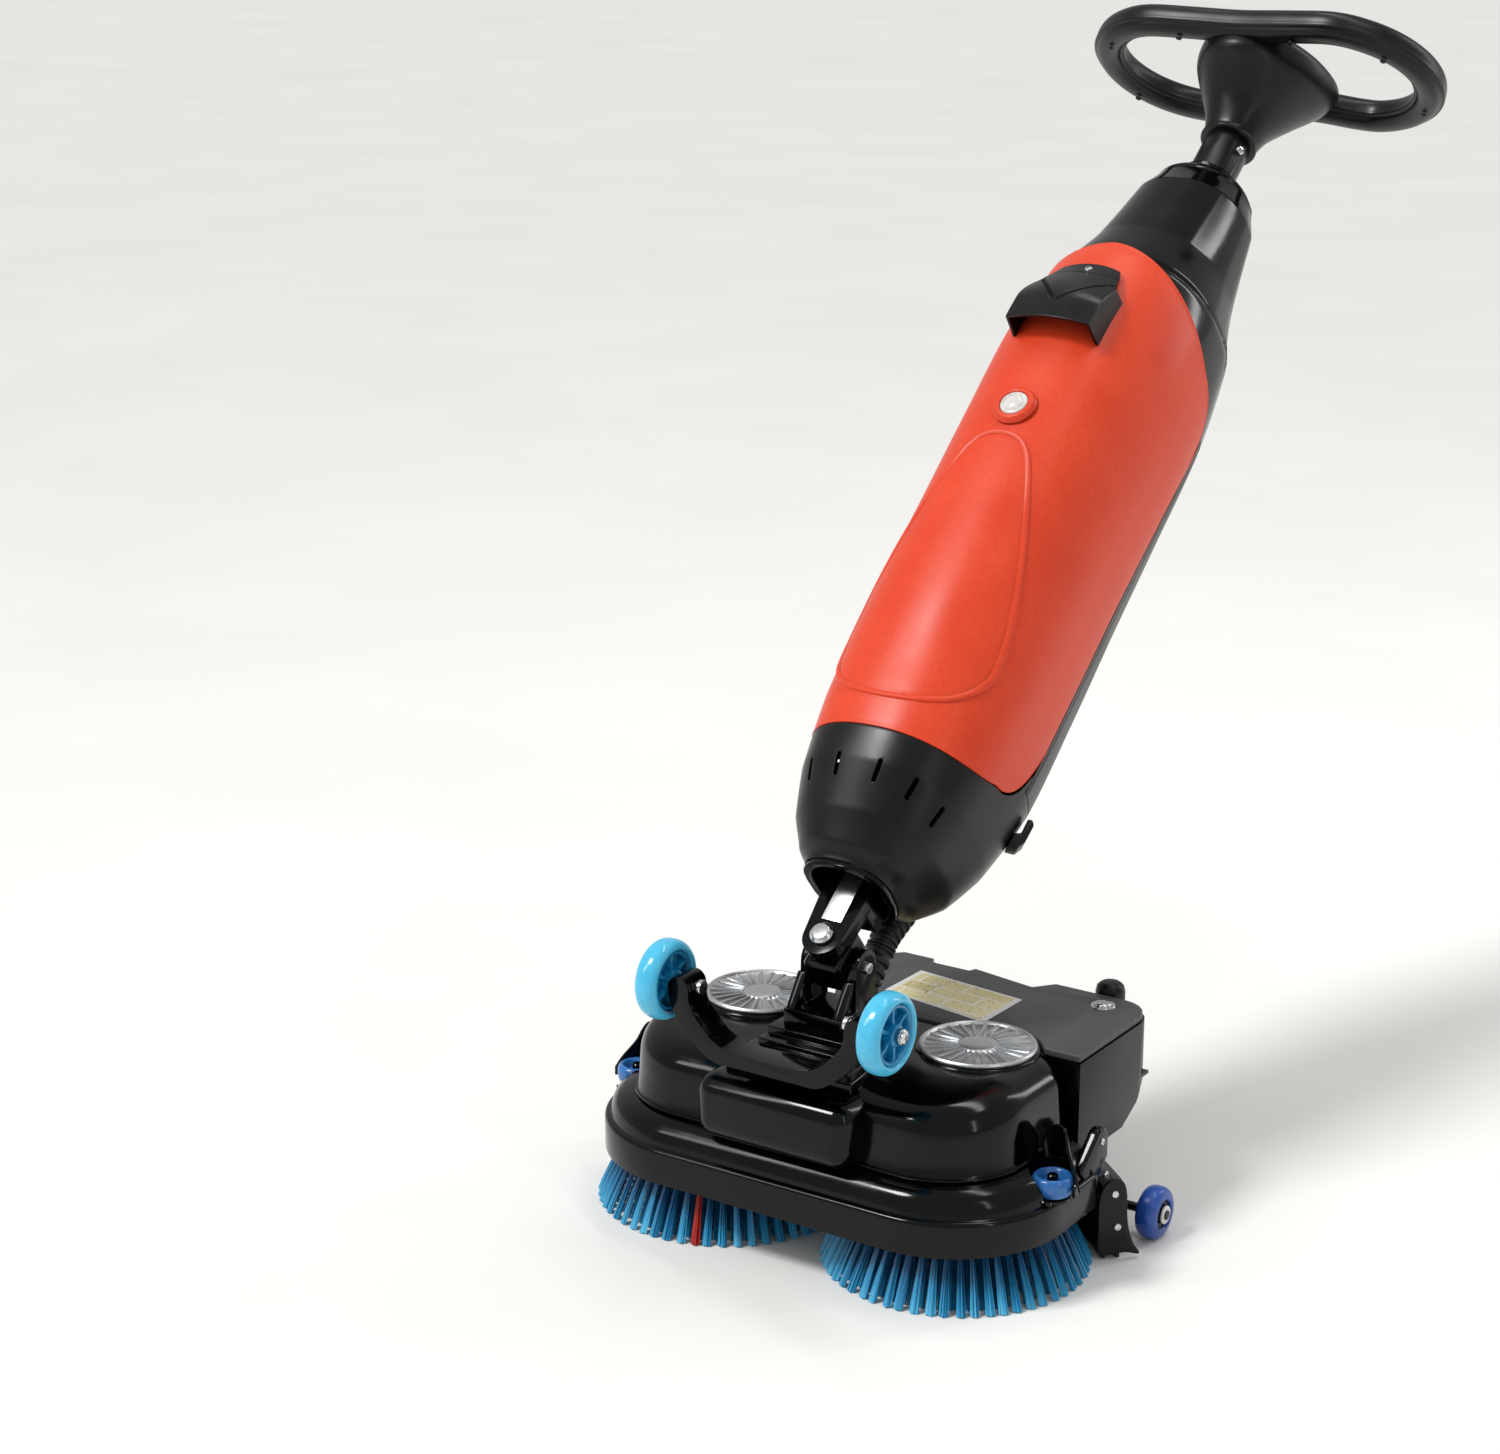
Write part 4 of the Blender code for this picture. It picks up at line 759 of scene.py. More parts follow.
# %% The power switch
SWITCH_HEIGHT = 0.4835
switch_y = -between(SWITCH_HEIGHT)[1]
bezel = turned(((0.0131, 0.001), (0.0131, 0.0052), (0.0139, 0.0060), (0.0162, 0.0060), (0.0180, 0.0050),
                (0.0192, 0.0026), (0.0200, 0.001), (0.0131, 0.001)), (0, 0, 0), "Z")
dome = turned(((0.0126, -0.004), (0.0126, 0.0048), (0.0120, 0.0058), (0.0104, 0.0062), (0.0099, 0.0056),
               (0.0092, 0.0056),
               (0.0086, 0.0064), (0.0060, 0.0076), (0.0030, 0.0082), (0.0008, 0.0083)), (0, 0, 0), "Z")
facing = Matrix.Translation((0, switch_y, SWITCH_HEIGHT)) @ Matrix.Rotation(pi / 2, 4, "X")
hand_over(place_in(bezel, BODY @ facing), "button_bezel_skin", "body", "red_orange_abs", ("button_bezel",),
          50)
hand_over(place_in(dome, BODY @ facing), "power_button_skin", "button", "silver_white_cap",
          ("power_button",), 50)

# %% [markdown]
# The tank latch is a black visor that stands off the red tank, so that fingers reach under its lower edge.
# It is bent to the body, with two stiffening grooves that meet in a V. It swings on a hinge near its top,
# and the strip above the hinge stays on the body with its screw.


# %% The tank latch
LATCH_LOW, LATCH_HIGH, LATCH_HALF, CHEEK = 0.5670, 0.6570, 0.0415, 0.86


def latch_place(u, v):
    away = abs(2 * u - 1)
    plate = min(1, away / CHEEK)
    cheek = max(0, (away - CHEEK) / (1 - CHEEK))
    top = LATCH_HIGH - 0.010 * plate**2 - 0.026 * smooth(0.66, 1.0, plate)
    height = LATCH_LOW + (top - LATCH_LOW) * v
    x = (LATCH_HALF * plate + 0.0012 * cheek) * (1 if u >= 0.5 else -1)
    below = 1 - smooth(0.25, 1.05, (height - LATCH_LOW) / (LATCH_HIGH - LATCH_LOW))
    stand_off = 0.0035 + 0.0195 * below
    arm = abs(plate * LATCH_HALF - (0.002 + 0.85 * (height - 0.588)))
    groove = max(0, 1 - arm / 0.0022) * smooth(0.586, 0.589, height) * smooth(0.630, 0.626, height)
    spot = skin_point(height, angle_of(height, x), 0)
    middle = skin_point(height, -pi / 2, 0)
    flat = middle.y + (0.012 - 0.006 * below) * plate**2
    spot.y = min(spot.y, flat) * below + spot.y * (1 - below)
    spot.y -= 0.0005 + (stand_off * (1 - cheek) - 0.0032 * groove * smooth(1.0, 0.9, plate) * (1 - cheek))
    if cheek:
        spot.y += (skin_point(height, angle_of(height, x), 0).y - spot.y - 0.0008) * cheek
    return spot


LATCH_HINGE, LATCH_GAP = 0.6400, 0.0004
for name, body, stands_for, keep_low in (
    ("tank_latch_skin", "latch", ("tank_latch",), True), ("latch_hinge_cover", "body", (), False),
):
    latch = laid(latch_place, 150, 70)
    modifier(latch, "SOLIDIFY", thickness=0.0028, offset=-1)
    parting = LATCH_HINGE - LATCH_GAP if keep_low else LATCH_HINGE + LATCH_GAP
    trimmed(latch, (0, 0, parting), (0, 0, 1), clear_outer=keep_low, clear_inner=not keep_low, use_fill=True)
    place_in(latch, BODY)
    bevelled(latch, 0.0007, 2, 60)
    hand_over(latch, name, body, "satin_black_abs", stands_for, 40)


def screw_head(radius=0.0035, height=0.0018):
    """A round screw head with a cross recess, its head upwards."""
    head = turned(((radius, 0), (radius, height * 0.45), (radius * 0.82, height * 0.85),
                   (radius * 0.45, height)), steps=24)
    for turn in (0, pi / 2):
        bpy.ops.object.select_all(action="DESELECT")
        bpy.ops.mesh.primitive_cube_add(size=1)
        bar = bpy.context.object
        bar.data.transform(Matrix.Rotation(turn, 4, "Z")
                           @ Matrix.Diagonal((radius * 1.1, radius * 0.28, height, 1)))
        bar.data.transform(Matrix.Translation((0, 0, height)))
        modifier(head, "BOOLEAN", object=bar, operation="DIFFERENCE", solver="EXACT")
        bpy.data.objects.remove(bar)
    return head


def screw_at(name, body, place, point, outward, radius=0.0035, finish_name="zinc_plated_steel"):
    """Sets a screw head on a surface, facing outward."""
    turn = Vector(outward).to_track_quat("Z", "X").to_matrix().to_4x4()
    screw = screw_head(radius)
    screw.data.transform(place @ Matrix.Translation(point) @ turn)
    return hand_over(screw, name, body, finish_name)


screw_at("latch_screw", "body", BODY, skin_point(0.6480, -pi / 2, 0.0052), (0, -1, 0.35), 0.0036)
print("body done")

# %% [markdown]
# ## The deck
# The splash skirt and the deck cover are gloss black mouldings with round corners. Both are drawn as a few
# rings, each ring the same rounded rectangle drawn in a little further, so every corner has one even radius.


# %% Rings, lofts and slabs
def rounded_ring(half, front, rear, front_radius, rear_radius, height, corner=14, straight=10):
    """A rounded rectangle seen from above, anticlockwise, with evenly spread points."""
    spots = ((half - front_radius, front + front_radius, front_radius, -90),
             (half - rear_radius, rear - rear_radius, rear_radius, 0),
             (rear_radius - half, rear - rear_radius, rear_radius, 90),
             (front_radius - half, front + front_radius, front_radius, 180))
    corners = [[Vector((x + r * cos(radians(a0 + 90 * i / corner)),
                        y + r * sin(radians(a0 + 90 * i / corner)), height))
                for i in range(corner + 1)] for x, y, r, a0 in spots]
    ring = []
    for here, after in zip(corners, corners[1:] + corners[:1]):
        ring += here + [here[-1].lerp(after[0], i / straight) for i in range(1, straight)]
    return ring


def lofted(rings, closed=True):
    """A grid laid through rings or rows that all have the same number of points."""
    count = len(rings[0]) + (1 if closed else 0)
    return laid(lambda u, v: rings[round(v * (len(rings) - 1))][round(u * (count - 1)) % len(rings[0])],
                count - 1, len(rings) - 1, closed)


def capped(obj):
    """Closes a shape's open ends."""
    only(obj, "EDIT")
    bpy.ops.mesh.fill_holes(sides=0)
    return clean(obj)


def slab(outline, low, high, axis="Z"):
    """A plate from an outline, extruded between two places along an axis."""
    bpy.ops.object.select_all(action="DESELECT")
    bpy.ops.mesh.primitive_circle_add(vertices=len(outline), fill_type="NGON")
    obj = bpy.context.object
    for vertex, (a, b) in zip(obj.data.vertices, outline):
        vertex.co = {"Z": (a, b, low), "Y": (a, low, b), "X": (low, a, b)}[axis]
    step = {"Z": (0, 0, high - low), "Y": (0, high - low, 0), "X": (high - low, 0, 0)}[axis]
    only(obj, "EDIT")
    bpy.ops.mesh.extrude_region_move(TRANSFORM_OT_translate={"value": step})
    return clean(obj)


def arc(x, y, radius, start, end, count):
    return [(x + radius * cos(radians(start + (end - start) * i / (count - 1))),
             y + radius * sin(radians(start + (end - start) * i / (count - 1)))) for i in range(count)]


def cut(obj, tools):
    """Cuts tools out of a piece and removes them."""
    for tool in tools:
        modifier(obj, "BOOLEAN", object=tool, operation="DIFFERENCE", solver="EXACT")
        bpy.data.objects.remove(tool)
    return obj


def post(radius, low, high, x, y, steps=40):
    """An upright cylinder used as a cutter."""
    return turned(((radius, low), (radius, high)), (x, y, 0), steps=steps)


def rounded_box(low, high, radius, segments=5):
    """A box with round edges."""
    bpy.ops.object.select_all(action="DESELECT")
    bpy.ops.mesh.primitive_cube_add(size=1)
    obj = bpy.context.object
    size = Vector(high) - Vector(low)
    obj.data.transform(Matrix.Translation((Vector(low) + Vector(high)) / 2) @ Matrix.Diagonal((*size, 1)))
    return modifier(obj, "BEVEL", width=radius, segments=segments)


# %% The splash skirt
SKIRT_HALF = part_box("skirt")[1].x
bumper_low, bumper_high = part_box("bumper_roller_right")
BUMPER_X = (bumper_low.x + bumper_high.x) / 2
BUMPER_Y = (bumper_low.y + bumper_high.y) / 2 - DECK.translation.y
SKIRT_STEPS = ((0.0500, 0.0012), (0.0504, 0.0002), (0.0516, 0), (0.0770, 0), (0.0788, 0.0004),
               (0.0802, 0.0014),
               (0.0808, 0.0028), (0.0811, 0.0044), (0.0816, 0.0052), (0.0840, 0.0058), (0.0900, 0.0070),
               (0.0945, 0.0092),
               (0.0985, 0.0130), (0.1015, 0.0180), (0.1035, 0.0240), (0.1046, 0.0300), (0.1050, 0.0370))
skirt = lofted([rounded_ring(SKIRT_HALF - d, -0.112 + d, 0.070, 0.105 - d, 0.02, z, 22) for z,
                d in SKIRT_STEPS])
trimmed(skirt, (0, 0.055, 0), (0, 1, 0), clear_outer=True)
modifier(skirt, "SOLIDIFY", thickness=0.0030, offset=-1, use_even_offset=True)
cut(skirt, [post(0.0196, 0.0822, 0.13, side * BUMPER_X, BUMPER_Y) for side in (-1, 1)])
ears = []
for side in (-1, 1):
    low, high = sorted((side * 0.2045, side * 0.2145))
    outline = [(0.030, 0.0895), (0.046, 0.0640), (0.066, 0.0740), (0.078, 0.0880)]
    outline += arc(0.066, 0.104, 0.012, 0, 150, 12)
    ear = slab(outline, low, high, "X")
    ears.append(bevelled(ear, 0.0028, 4, 50))
    rim = turned(((0.0196, 0.0815), (0.0196, 0.0842), (0.0206, 0.0850), (0.0214, 0.0842), (0.0214, 0.0815),
                  (0.0196, 0.0815)), (side * BUMPER_X, BUMPER_Y, 0), steps=48)
    ears.append(trimmed(rim, (side * 0.2165, 0, 0), (side, 0, 0), clear_outer=True, use_fill=True))
    ears.append(turned(((0.0150, 0.0800), (0.0150, 0.0824), (0.0060, 0.0826), (0.0046, 0.0832),
                        (0.0046, 0.1000),
                        (0.0036, 0.1010)), (side * BUMPER_X, BUMPER_Y, 0), steps=32))


def guard_place(u, v, side):
    """The curved guard that rises behind each corner roller and leans on the deck cover."""
    a = radians(-10 + 165 * u)
    rise = 0.040 * smooth(0.0, 0.42, u) * smooth(1.0, 0.55, u)
    r = 0.0213 + 0.0030 * smooth(0.3, 0.8, u)
    lean = 0.012 * v * smooth(0, 0.03, rise)
    return Vector((side * (BUMPER_X - lean + r * cos(a)), BUMPER_Y + r * sin(a), 0.086 + (0.008 + rise) * v))


for side in (-1, 1):
    guard = laid(lambda u, v, side=side: guard_place(u, v, side), 60, 14)
    modifier(guard, "SOLIDIFY", thickness=0.0024, offset=0)
    guard = clean(bevelled(guard, 0.0008, 3, 50))
    ears.append(guard)
place_in(join([skirt, *ears]), DECK)
hand_over(skirt, "skirt_skin", "deck", "gloss_black_abs", ("skirt",), 38)

# %% [markdown]
# The deck cover has a round lobe over each brush motor. Its top falls a little towards the front, so that
# each motor tower stands out of it with a rim of its own, and a pillow-shaped block bulges in front.

# %% The deck cover
VENT_X, VENT_Y, FINS = 0.108, 0.043, 26
COVER_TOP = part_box("deck_shell")[1].z
COVER_STEPS = ((0.1054, -0.0006), (0.1062, -0.0012), (0.1074, -0.0008), (0.1080, 0.0010), (0.1100, 0.0020),
               (0.130, 0.0032),
               (0.148, 0.0046), (0.1545, 0.0062), (0.1600, 0.0092), (0.1640, 0.0130), (0.1670, 0.0180),
               (0.1690, 0.0240),
               (0.1702, 0.0310), (0.1706, 0.0400))
rings = []
for height, inset in COVER_STEPS:
    ring = rounded_ring(0.186 - inset, -0.089 + inset, 0.0662, 0.076 - inset, 0.02, height, 22, 16)
    for point in ring:
        waist = 0.0045 * smooth(0.085, 0.020, abs(point.x)) * smooth(-0.02, -0.07, point.y)
        point.y += waist
        fall = 0.0075 * smooth(0.000, -0.075, point.y) * smooth(0.040, 0.075, abs(point.x))
        point.z -= fall * smooth(0.125, 0.165, height)
    rings.append(ring)
cover = capped(lofted(rings))
tower_profile = ((0.0535, 0.106), (0.0531, 0.150), (0.0529, 0.1650), (0.0526, 0.1690), (0.0519, 0.1706),
                 (0.0508, 0.1717),
                 (0.0495, 0.1720), (0.0495, 0.1700))
parts = [cover]
for side in (-1, 1):
    tower = turned(tower_profile, (side * VENT_X, VENT_Y, 0), steps=96)
    parts.append(tower)
pillow = rounded_box((-0.0755, -0.1125, 0.1030), (0.0755, -0.060, 0.1600), 0.0170, 9)
for vertex in pillow.data.vertices:
    bulge = 1 - (vertex.co.x / 0.0755) ** 4
    vertex.co.y -= 0.0012 * max(0, bulge) if vertex.co.y < -0.10 else 0
parts.append(pillow)
apron = slab([(-0.062, -0.083), (0.062, -0.083), (0.050, 0.020), (-0.050, 0.020)], 0.160, COVER_TOP - 0.0002)
parts.append(bevelled(apron, 0.0025, 4, 40))
place_in(join(parts), DECK)
hand_over(cover, "deck_shell_skin", "deck", "gloss_black_abs", ("deck_shell",), 38)
print("deck cover faces", len(cover.data.polygons))

# %% [markdown]
# A vent cap closes each tower: a blasted aluminium disc with a bright rolled rim, a plain hub, and a ring
# of radial fins between. One fin is modelled and then copied round.

# %% The vent caps
for side, hand in ((-1, "left"), (1, "right")):
    disc = turned(((0.0490, 0.1722), (0.0497, 0.1728), (0.0499, 0.1742), (0.0494, 0.1754), (0.0484, 0.1762),
                   (0.0470, 0.1764),
                   (0.0458, 0.1758), (0.0450, 0.1746), (0.0440, 0.1740), (0.0190, 0.1734), (0.0176, 0.1738),
                   (0.0166, 0.1750),
                   (0.0150, 0.1757), (0.0080, 0.1760), (0.0005, 0.1761)), (side * VENT_X, VENT_Y, 0),
                  steps=96)
    fins = [disc]
    for i in range(FINS):
        fin = slab([(0.0172, -0.00045), (0.0300, -0.0009), (0.0450, -0.0013), (0.0450, 0.0013),
                    (0.0300, 0.0009),
                    (0.0172, 0.00045)], 0.1730, 0.1758)
        for vertex in fin.data.vertices:
            if vertex.co.z > 0.174:
                vertex.co.y += 0.0009
                vertex.co.z -= 0.0006 * smooth(0.030, 0.045, vertex.co.x)
        fin.data.transform(Matrix.Translation((side * VENT_X, VENT_Y, 0))
                           @ Matrix.Rotation(tau * i / FINS, 4, "Z"))
        fins.append(fin)
    place_in(join(fins), DECK)
    hand_over(disc, f"vent_cap_{hand}_skin", "deck", "blasted_cast_aluminium", (f"vent_cap_{hand}",), 30)

# %% [markdown]
# The brushes are what the machine is for. Each has rings of tufts that lean outwards, and each tuft is a
# fan of stiff nylon strands, wider at the tip than at the root. A strand is only a thin three-sided spike,
# because there are thousands of them. One tuft is dyed red: when it has worn away, the brush is changed.


# %% The brushes
def add_strand(shape, layer, shade, root, tip):
    """One bent strand from root to tip."""
    rings = []
    along = (tip - root).normalized()
    side = along.orthogonal().normalized()
    other = along.cross(side)
    for i in range(4):
        f = i / 3
        centre = root.lerp(tip, f) + Vector((0, 0, 0.0022 * sin(pi * f)))
        radius = STRAND_ROOT + (STRAND_TIP - STRAND_ROOT) * f
        ring = []
        for k in range(3):
            turn = tau * k / 3 + shade
            ring.append(shape.verts.new(centre + radius * (side * cos(turn) + other * sin(turn))))
        for vertex in ring:
            vertex[layer] = shade
        rings.append(ring)
    for lower, upper in zip(rings, rings[1:]):
        for k in range(3):
            shape.faces.new((lower[k], lower[(k + 1) % 3], upper[(k + 1) % 3], upper[k]))
    shape.faces.new(rings[0][::-1])
    shape.faces.new(rings[-1])


TUFT_ROWS = ((0.0850, 0.1128, 56, 18), (0.0770, 0.1010, 50, 9), (0.0660, 0.0830, 40, 7),
             (0.0540, 0.0640, 28, 6),
             (0.0410, 0.0440, 20, 6))
RED_TUFT, RED_SPREAD = -68, 3.2  # degrees round the left brush
BLOCK_FACE, STRAND_ROOT, STRAND_TIP = 0.0535, 0.00070, 0.00095
for side, hand in ((-1, "left"), (1, "right")):
    draw = random.Random(11 + side)
    shapes = {"blue": bmesh.new(), "red": bmesh.new()}
    layers = {key: shape.verts.layers.float.new("strand") for key, shape in shapes.items()}
    centre = Vector(((BRUSH_LOW.x + BRUSH_HIGH.x) / 2 * side, 0, 0))
    for row, (root_r, tip_r, tufts, strands) in enumerate(TUFT_ROWS):
        for i in range(tufts):
            a = tau * (i + 0.5 * (row % 2)) / tufts
            lean = draw.uniform(-0.012, 0.012)
            red = side < 0 and row == 0 and abs(((a * 180 / pi - RED_TUFT + 180) % 360) - 180) < RED_SPREAD
            # Painted shade: the inner rows get a darker tone than the outer row, as they lie in shade under
            # the deck; each tuft and strand also gets a random tone.
            tone = draw.uniform(0.0, 0.50) + (0.45 if row else 0)
            for _ in range(strands):
                around, inout = draw.uniform(-1, 1), draw.uniform(-1, 1)
                root_a = a + around * 0.0012 / root_r
                tip_a = a + lean + around * 0.0037 / tip_r
                r0, r1 = root_r + inout * 0.0014, tip_r + inout * 0.0010 - 0.0022 * abs(around) ** 2
                root = centre + Vector((r0 * cos(root_a), r0 * sin(root_a), BLOCK_FACE))
                tip = centre + Vector((r1 * cos(tip_a), r1 * sin(tip_a), draw.uniform(0.0002, 0.0016)))
                key = "red" if red else "blue"
                strand_shade = min(1, tone + draw.uniform(0, 0.45))
                add_strand(shapes[key], layers[key], strand_shade, root, tip)
    for key, finish_name in (("blue", "crimped_blue_nylon"), ("red", "warning_red_nylon")):
        if key == "red" and side > 0:
            continue
        bpy.ops.object.select_all(action="DESELECT")
        bpy.ops.mesh.primitive_circle_add(vertices=3)
        tufts_piece = bpy.context.object
        shapes[key].to_mesh(tufts_piece.data)
        place_in(tufts_piece, DECK)
        only(tufts_piece, "EDIT")
        bpy.ops.mesh.normals_make_consistent(inside=False)
        bpy.ops.object.mode_set(mode="OBJECT")
        stands_for = (f"brush_{hand}_bristles",) if key == "blue" else ()
        name = f"brush_{hand}_tufts" if key == "blue" else "brush_left_wear_tuft"
        hand_over(tufts_piece, name, f"brush_{hand}", finish_name, stands_for, 50)
        print(name, len(tufts_piece.data.polygons))
    softened(f"brush_{hand}_block", f"brush_{hand}", "satin_black_abs", 0.6)

# %% [markdown]
# The two small skate wheels only touch the floor when the deck is tipped back for carrying. The tyre is
# clear blue polyurethane on a darker hub with curved spokes, held by a bright bolt.

# %% The transport wheels
SPOKES = 6
WHEEL_LOW, WHEEL_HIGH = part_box("wheel_right_tyre")
wheel_at = (WHEEL_LOW + WHEEL_HIGH) / 2
for side, hand in ((-1, "left"), (1, "right")):
    centre = Vector((wheel_at.x * side, wheel_at.y, wheel_at.z))
    half, outer = (WHEEL_HIGH.x - WHEEL_LOW.x) / 2, (WHEEL_HIGH.z - WHEEL_LOW.z) / 2
    profile = [(0.0256, -0.0078), (0.0256, 0.0078), (0.0264, half - 0.0014)]
    profile += [(0.0264 + (outer - 0.0264) * sin(a), (half - 0.0004) * cos(a) ** 0.8) for a in
                [radians(d) for d in (12, 24, 36, 48, 60, 70, 80)]]
    profile += [(r, -z) for r, z in reversed(profile[3:])] + [(0.0264, 0.0014 - half), (0.0256, -0.0078)]
    tyre_piece = turned(profile, centre, "X", steps=96)
    hand_over(tyre_piece, f"wheel_{hand}_tyre_skin", f"wheel_{hand}", "light_blue_polyurethane",
              (f"wheel_{hand}_tyre",), 50)
    rim = turned(((0.0252, -0.0076), (0.0252, 0.0076), (0.0244, 0.0084), (0.0226, 0.0084), (0.0218, 0.0074),
                  (0.0214, 0.0030),
                  (0.0214, -0.0030), (0.0218, -0.0074), (0.0226, -0.0084), (0.0244, -0.0084),
                  (0.0252, -0.0076)), centre, "X", 96)
    boss = turned(((0.0044, -0.0110), (0.0044, 0.0110), (0.0072, 0.0112), (0.0092, 0.0100), (0.0098, 0.0060),
                   (0.0100, 0.0),
                   (0.0098, -0.0060), (0.0092, -0.0100), (0.0072, -0.0112), (0.0044, -0.0110)), centre, "X",
                  48)
    web = turned(((0.0095, -0.0011), (0.0095, 0.0011), (0.0218, 0.0011), (0.0218, -0.0011),
                  (0.0095, -0.0011)), centre, "X", 48)
    hub = [rim, boss, web]
    for i in range(SPOKES):
        spoke = slab([(0.0085, -0.0024), (0.0150, -0.0004), (0.0222, -0.0018), (0.0222, 0.0026),
                      (0.0150, 0.0026),
                      (0.0085, 0.0022)], -0.0072, 0.0072)
        bevelled(spoke, 0.0009, 2, 50)
        spoke.data.transform(Matrix.Translation(centre) @ Matrix.Rotation(pi / 2, 4, "Y")
                             @ Matrix.Rotation(tau * i / SPOKES, 4, "Z"))
        hub.append(spoke)
    hand_over(join(hub), f"wheel_{hand}_hub_skin", f"wheel_{hand}", "blue_nylon", (f"wheel_{hand}_hub",), 40)
    softened(f"wheel_axle_{hand}", "deck", "zinc_plated_steel", 0.4)
    socket = screw_head(0.0062, 0.0030)
    bolt_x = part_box("wheel_axle_right")[1].x * side - 0.0004 * side
    socket.data.transform(Matrix.Translation((bolt_x, centre.y, centre.z))
                          @ Matrix.Rotation(side * pi / 2, 4, "Y"))
    hand_over(socket, f"wheel_bolt_{hand}", "deck", "zinc_plated_steel")

# %% [markdown]
# The corner rollers are small blue cups that roll along a wall, and the squeegee's guide rollers are thick
# dark blue tyres with a black hub and a bright washer.

# %% Rollers
for side, hand in ((-1, "left"), (1, "right")):
    low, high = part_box(f"bumper_roller_{hand}")
    centre = (low + high) / 2
    r = (high.x - low.x) / 2
    base, top = low.z, high.z
    cup = turned(((0.0051, base), (0.0051, base + 0.0100), (0.0090, base + 0.0102), (0.0112, top - 0.0022),
                  (0.0122, top - 0.0006), (0.0136, top), (0.0152, top - 0.0004), (0.0166, top - 0.0020),
                  (r, top - 0.0045),
                  (r + 0.0001, (base + top) / 2), (r - 0.0006, base + 0.0030), (r - 0.0024, base + 0.0006),
                  (0.0120, base),
                  (0.0051, base)), (centre.x, centre.y, 0), steps=64)
    hand_over(cup, f"bumper_roller_{hand}_skin", f"bumper_{hand}", "mid_blue_nylon",
              (f"bumper_roller_{hand}",), 40)
    low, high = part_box(f"guide_roller_{hand}")
    centre = (low + high) / 2
    r, half = (high.z - low.z) / 2, (high.x - low.x) / 2
    ring = [(0.0125, -half + 0.0012), (0.0125, half - 0.0012), (0.0140, half)]
    ring += [(r - 0.0060 + 0.0060 * sin(a), (half - 0.0008) * cos(a) ** 0.7)
             for a in [radians(d) for d in (10, 30, 50, 70, 86)]]
    ring += [(a, -b) for a, b in reversed(ring[2:])] + [(0.0125, -half + 0.0012)]
    tyre_piece = turned(ring, centre, "X", 72)
    hand_over(tyre_piece, f"guide_roller_{hand}_skin", f"guide_{hand}", "dark_blue_polyurethane",
              (f"guide_roller_{hand}",), 50)
    core = turned(((0.0046, -half + 0.0020), (0.0046, half - 0.0020), (0.0078, half - 0.0016),
                   (0.0086, half - 0.0034),
                   (0.0122, half - 0.0030), (0.0122, -half + 0.0030), (0.0086, -half + 0.0034),
                   (0.0078, -half + 0.0016),
                   (0.0046, -half + 0.0020)), centre, "X", 48)
    hand_over(core, f"guide_core_{hand}", f"guide_{hand}", "satin_black_abs")
    end = centre + Vector((side * (half - 0.0002), 0, 0))
    washer = turned(((0.0042, 0), (0.0042, 0.0016), (0.0074, 0.0016), (0.0080, 0.0010), (0.0080, 0),
                     (0.0042, 0)), (0, 0, 0), steps=40)
    washer.data.transform(Matrix.Translation(end) @ Matrix.Rotation(side * pi / 2, 4, "Y"))
    hand_over(washer, f"guide_washer_{hand}", f"guide_{hand}", "silver_white_cap")
print("wheels and rollers done")

# %% [markdown]
# The squeegee beam, the neck castings and the battery box keep their mechanical shapes. They are copied with
# bevelled edges, wider on the cast pieces and finer on the moulded ones. The wheel carrier is drawn again
# from a smooth outline, and the working parts inside the shells get their finishes where they are.

# %% Castings and covers
def eased(points, steps=6):
    """The same outline with its corners drawn out into one smooth closed curve."""
    spots = [Vector(p) for p in points]
    count = len(spots)
    curve = []
    for k in range(count):
        a, b, c, d = (spots[(k + i) % count] for i in (-1, 0, 1, 2))
        for f in (i / steps for i in range(steps)):
            curve.append(curved(a, b, c, d, f))
    return [tuple(p) for p in curve]


arm = [(0.030, 0.1762), (0.050, 0.1768), (0.066, 0.1860), (0.082, 0.2010), (0.0925, 0.2180)]
arm += arc(0.0855, 0.2333, 0.0100, -5, 175, 7)
arm += [(0.0735, 0.2190), (0.0620, 0.2050), (0.0500, 0.1945), (0.0300, 0.1885)]
outline = arm[:] + [(-x, z) for x, z in reversed(arm)]
bracket = slab(eased(outline), -0.1165, -0.0895, "Y")
cut(bracket, [turned(((0.0043, -0.03), (0.0043, 0.03)),
                     (side * 0.0855, wheel_at.y - DECK.translation.y, wheel_at.z), "X", 32)
              for side in (-1, 1)])
bevelled(bracket, 0.0030, 4, 60)
hand_over(place_in(bracket, DECK), "wheel_bracket_skin", "deck", "gloss_black_abs", ("wheel_bracket",), 50)
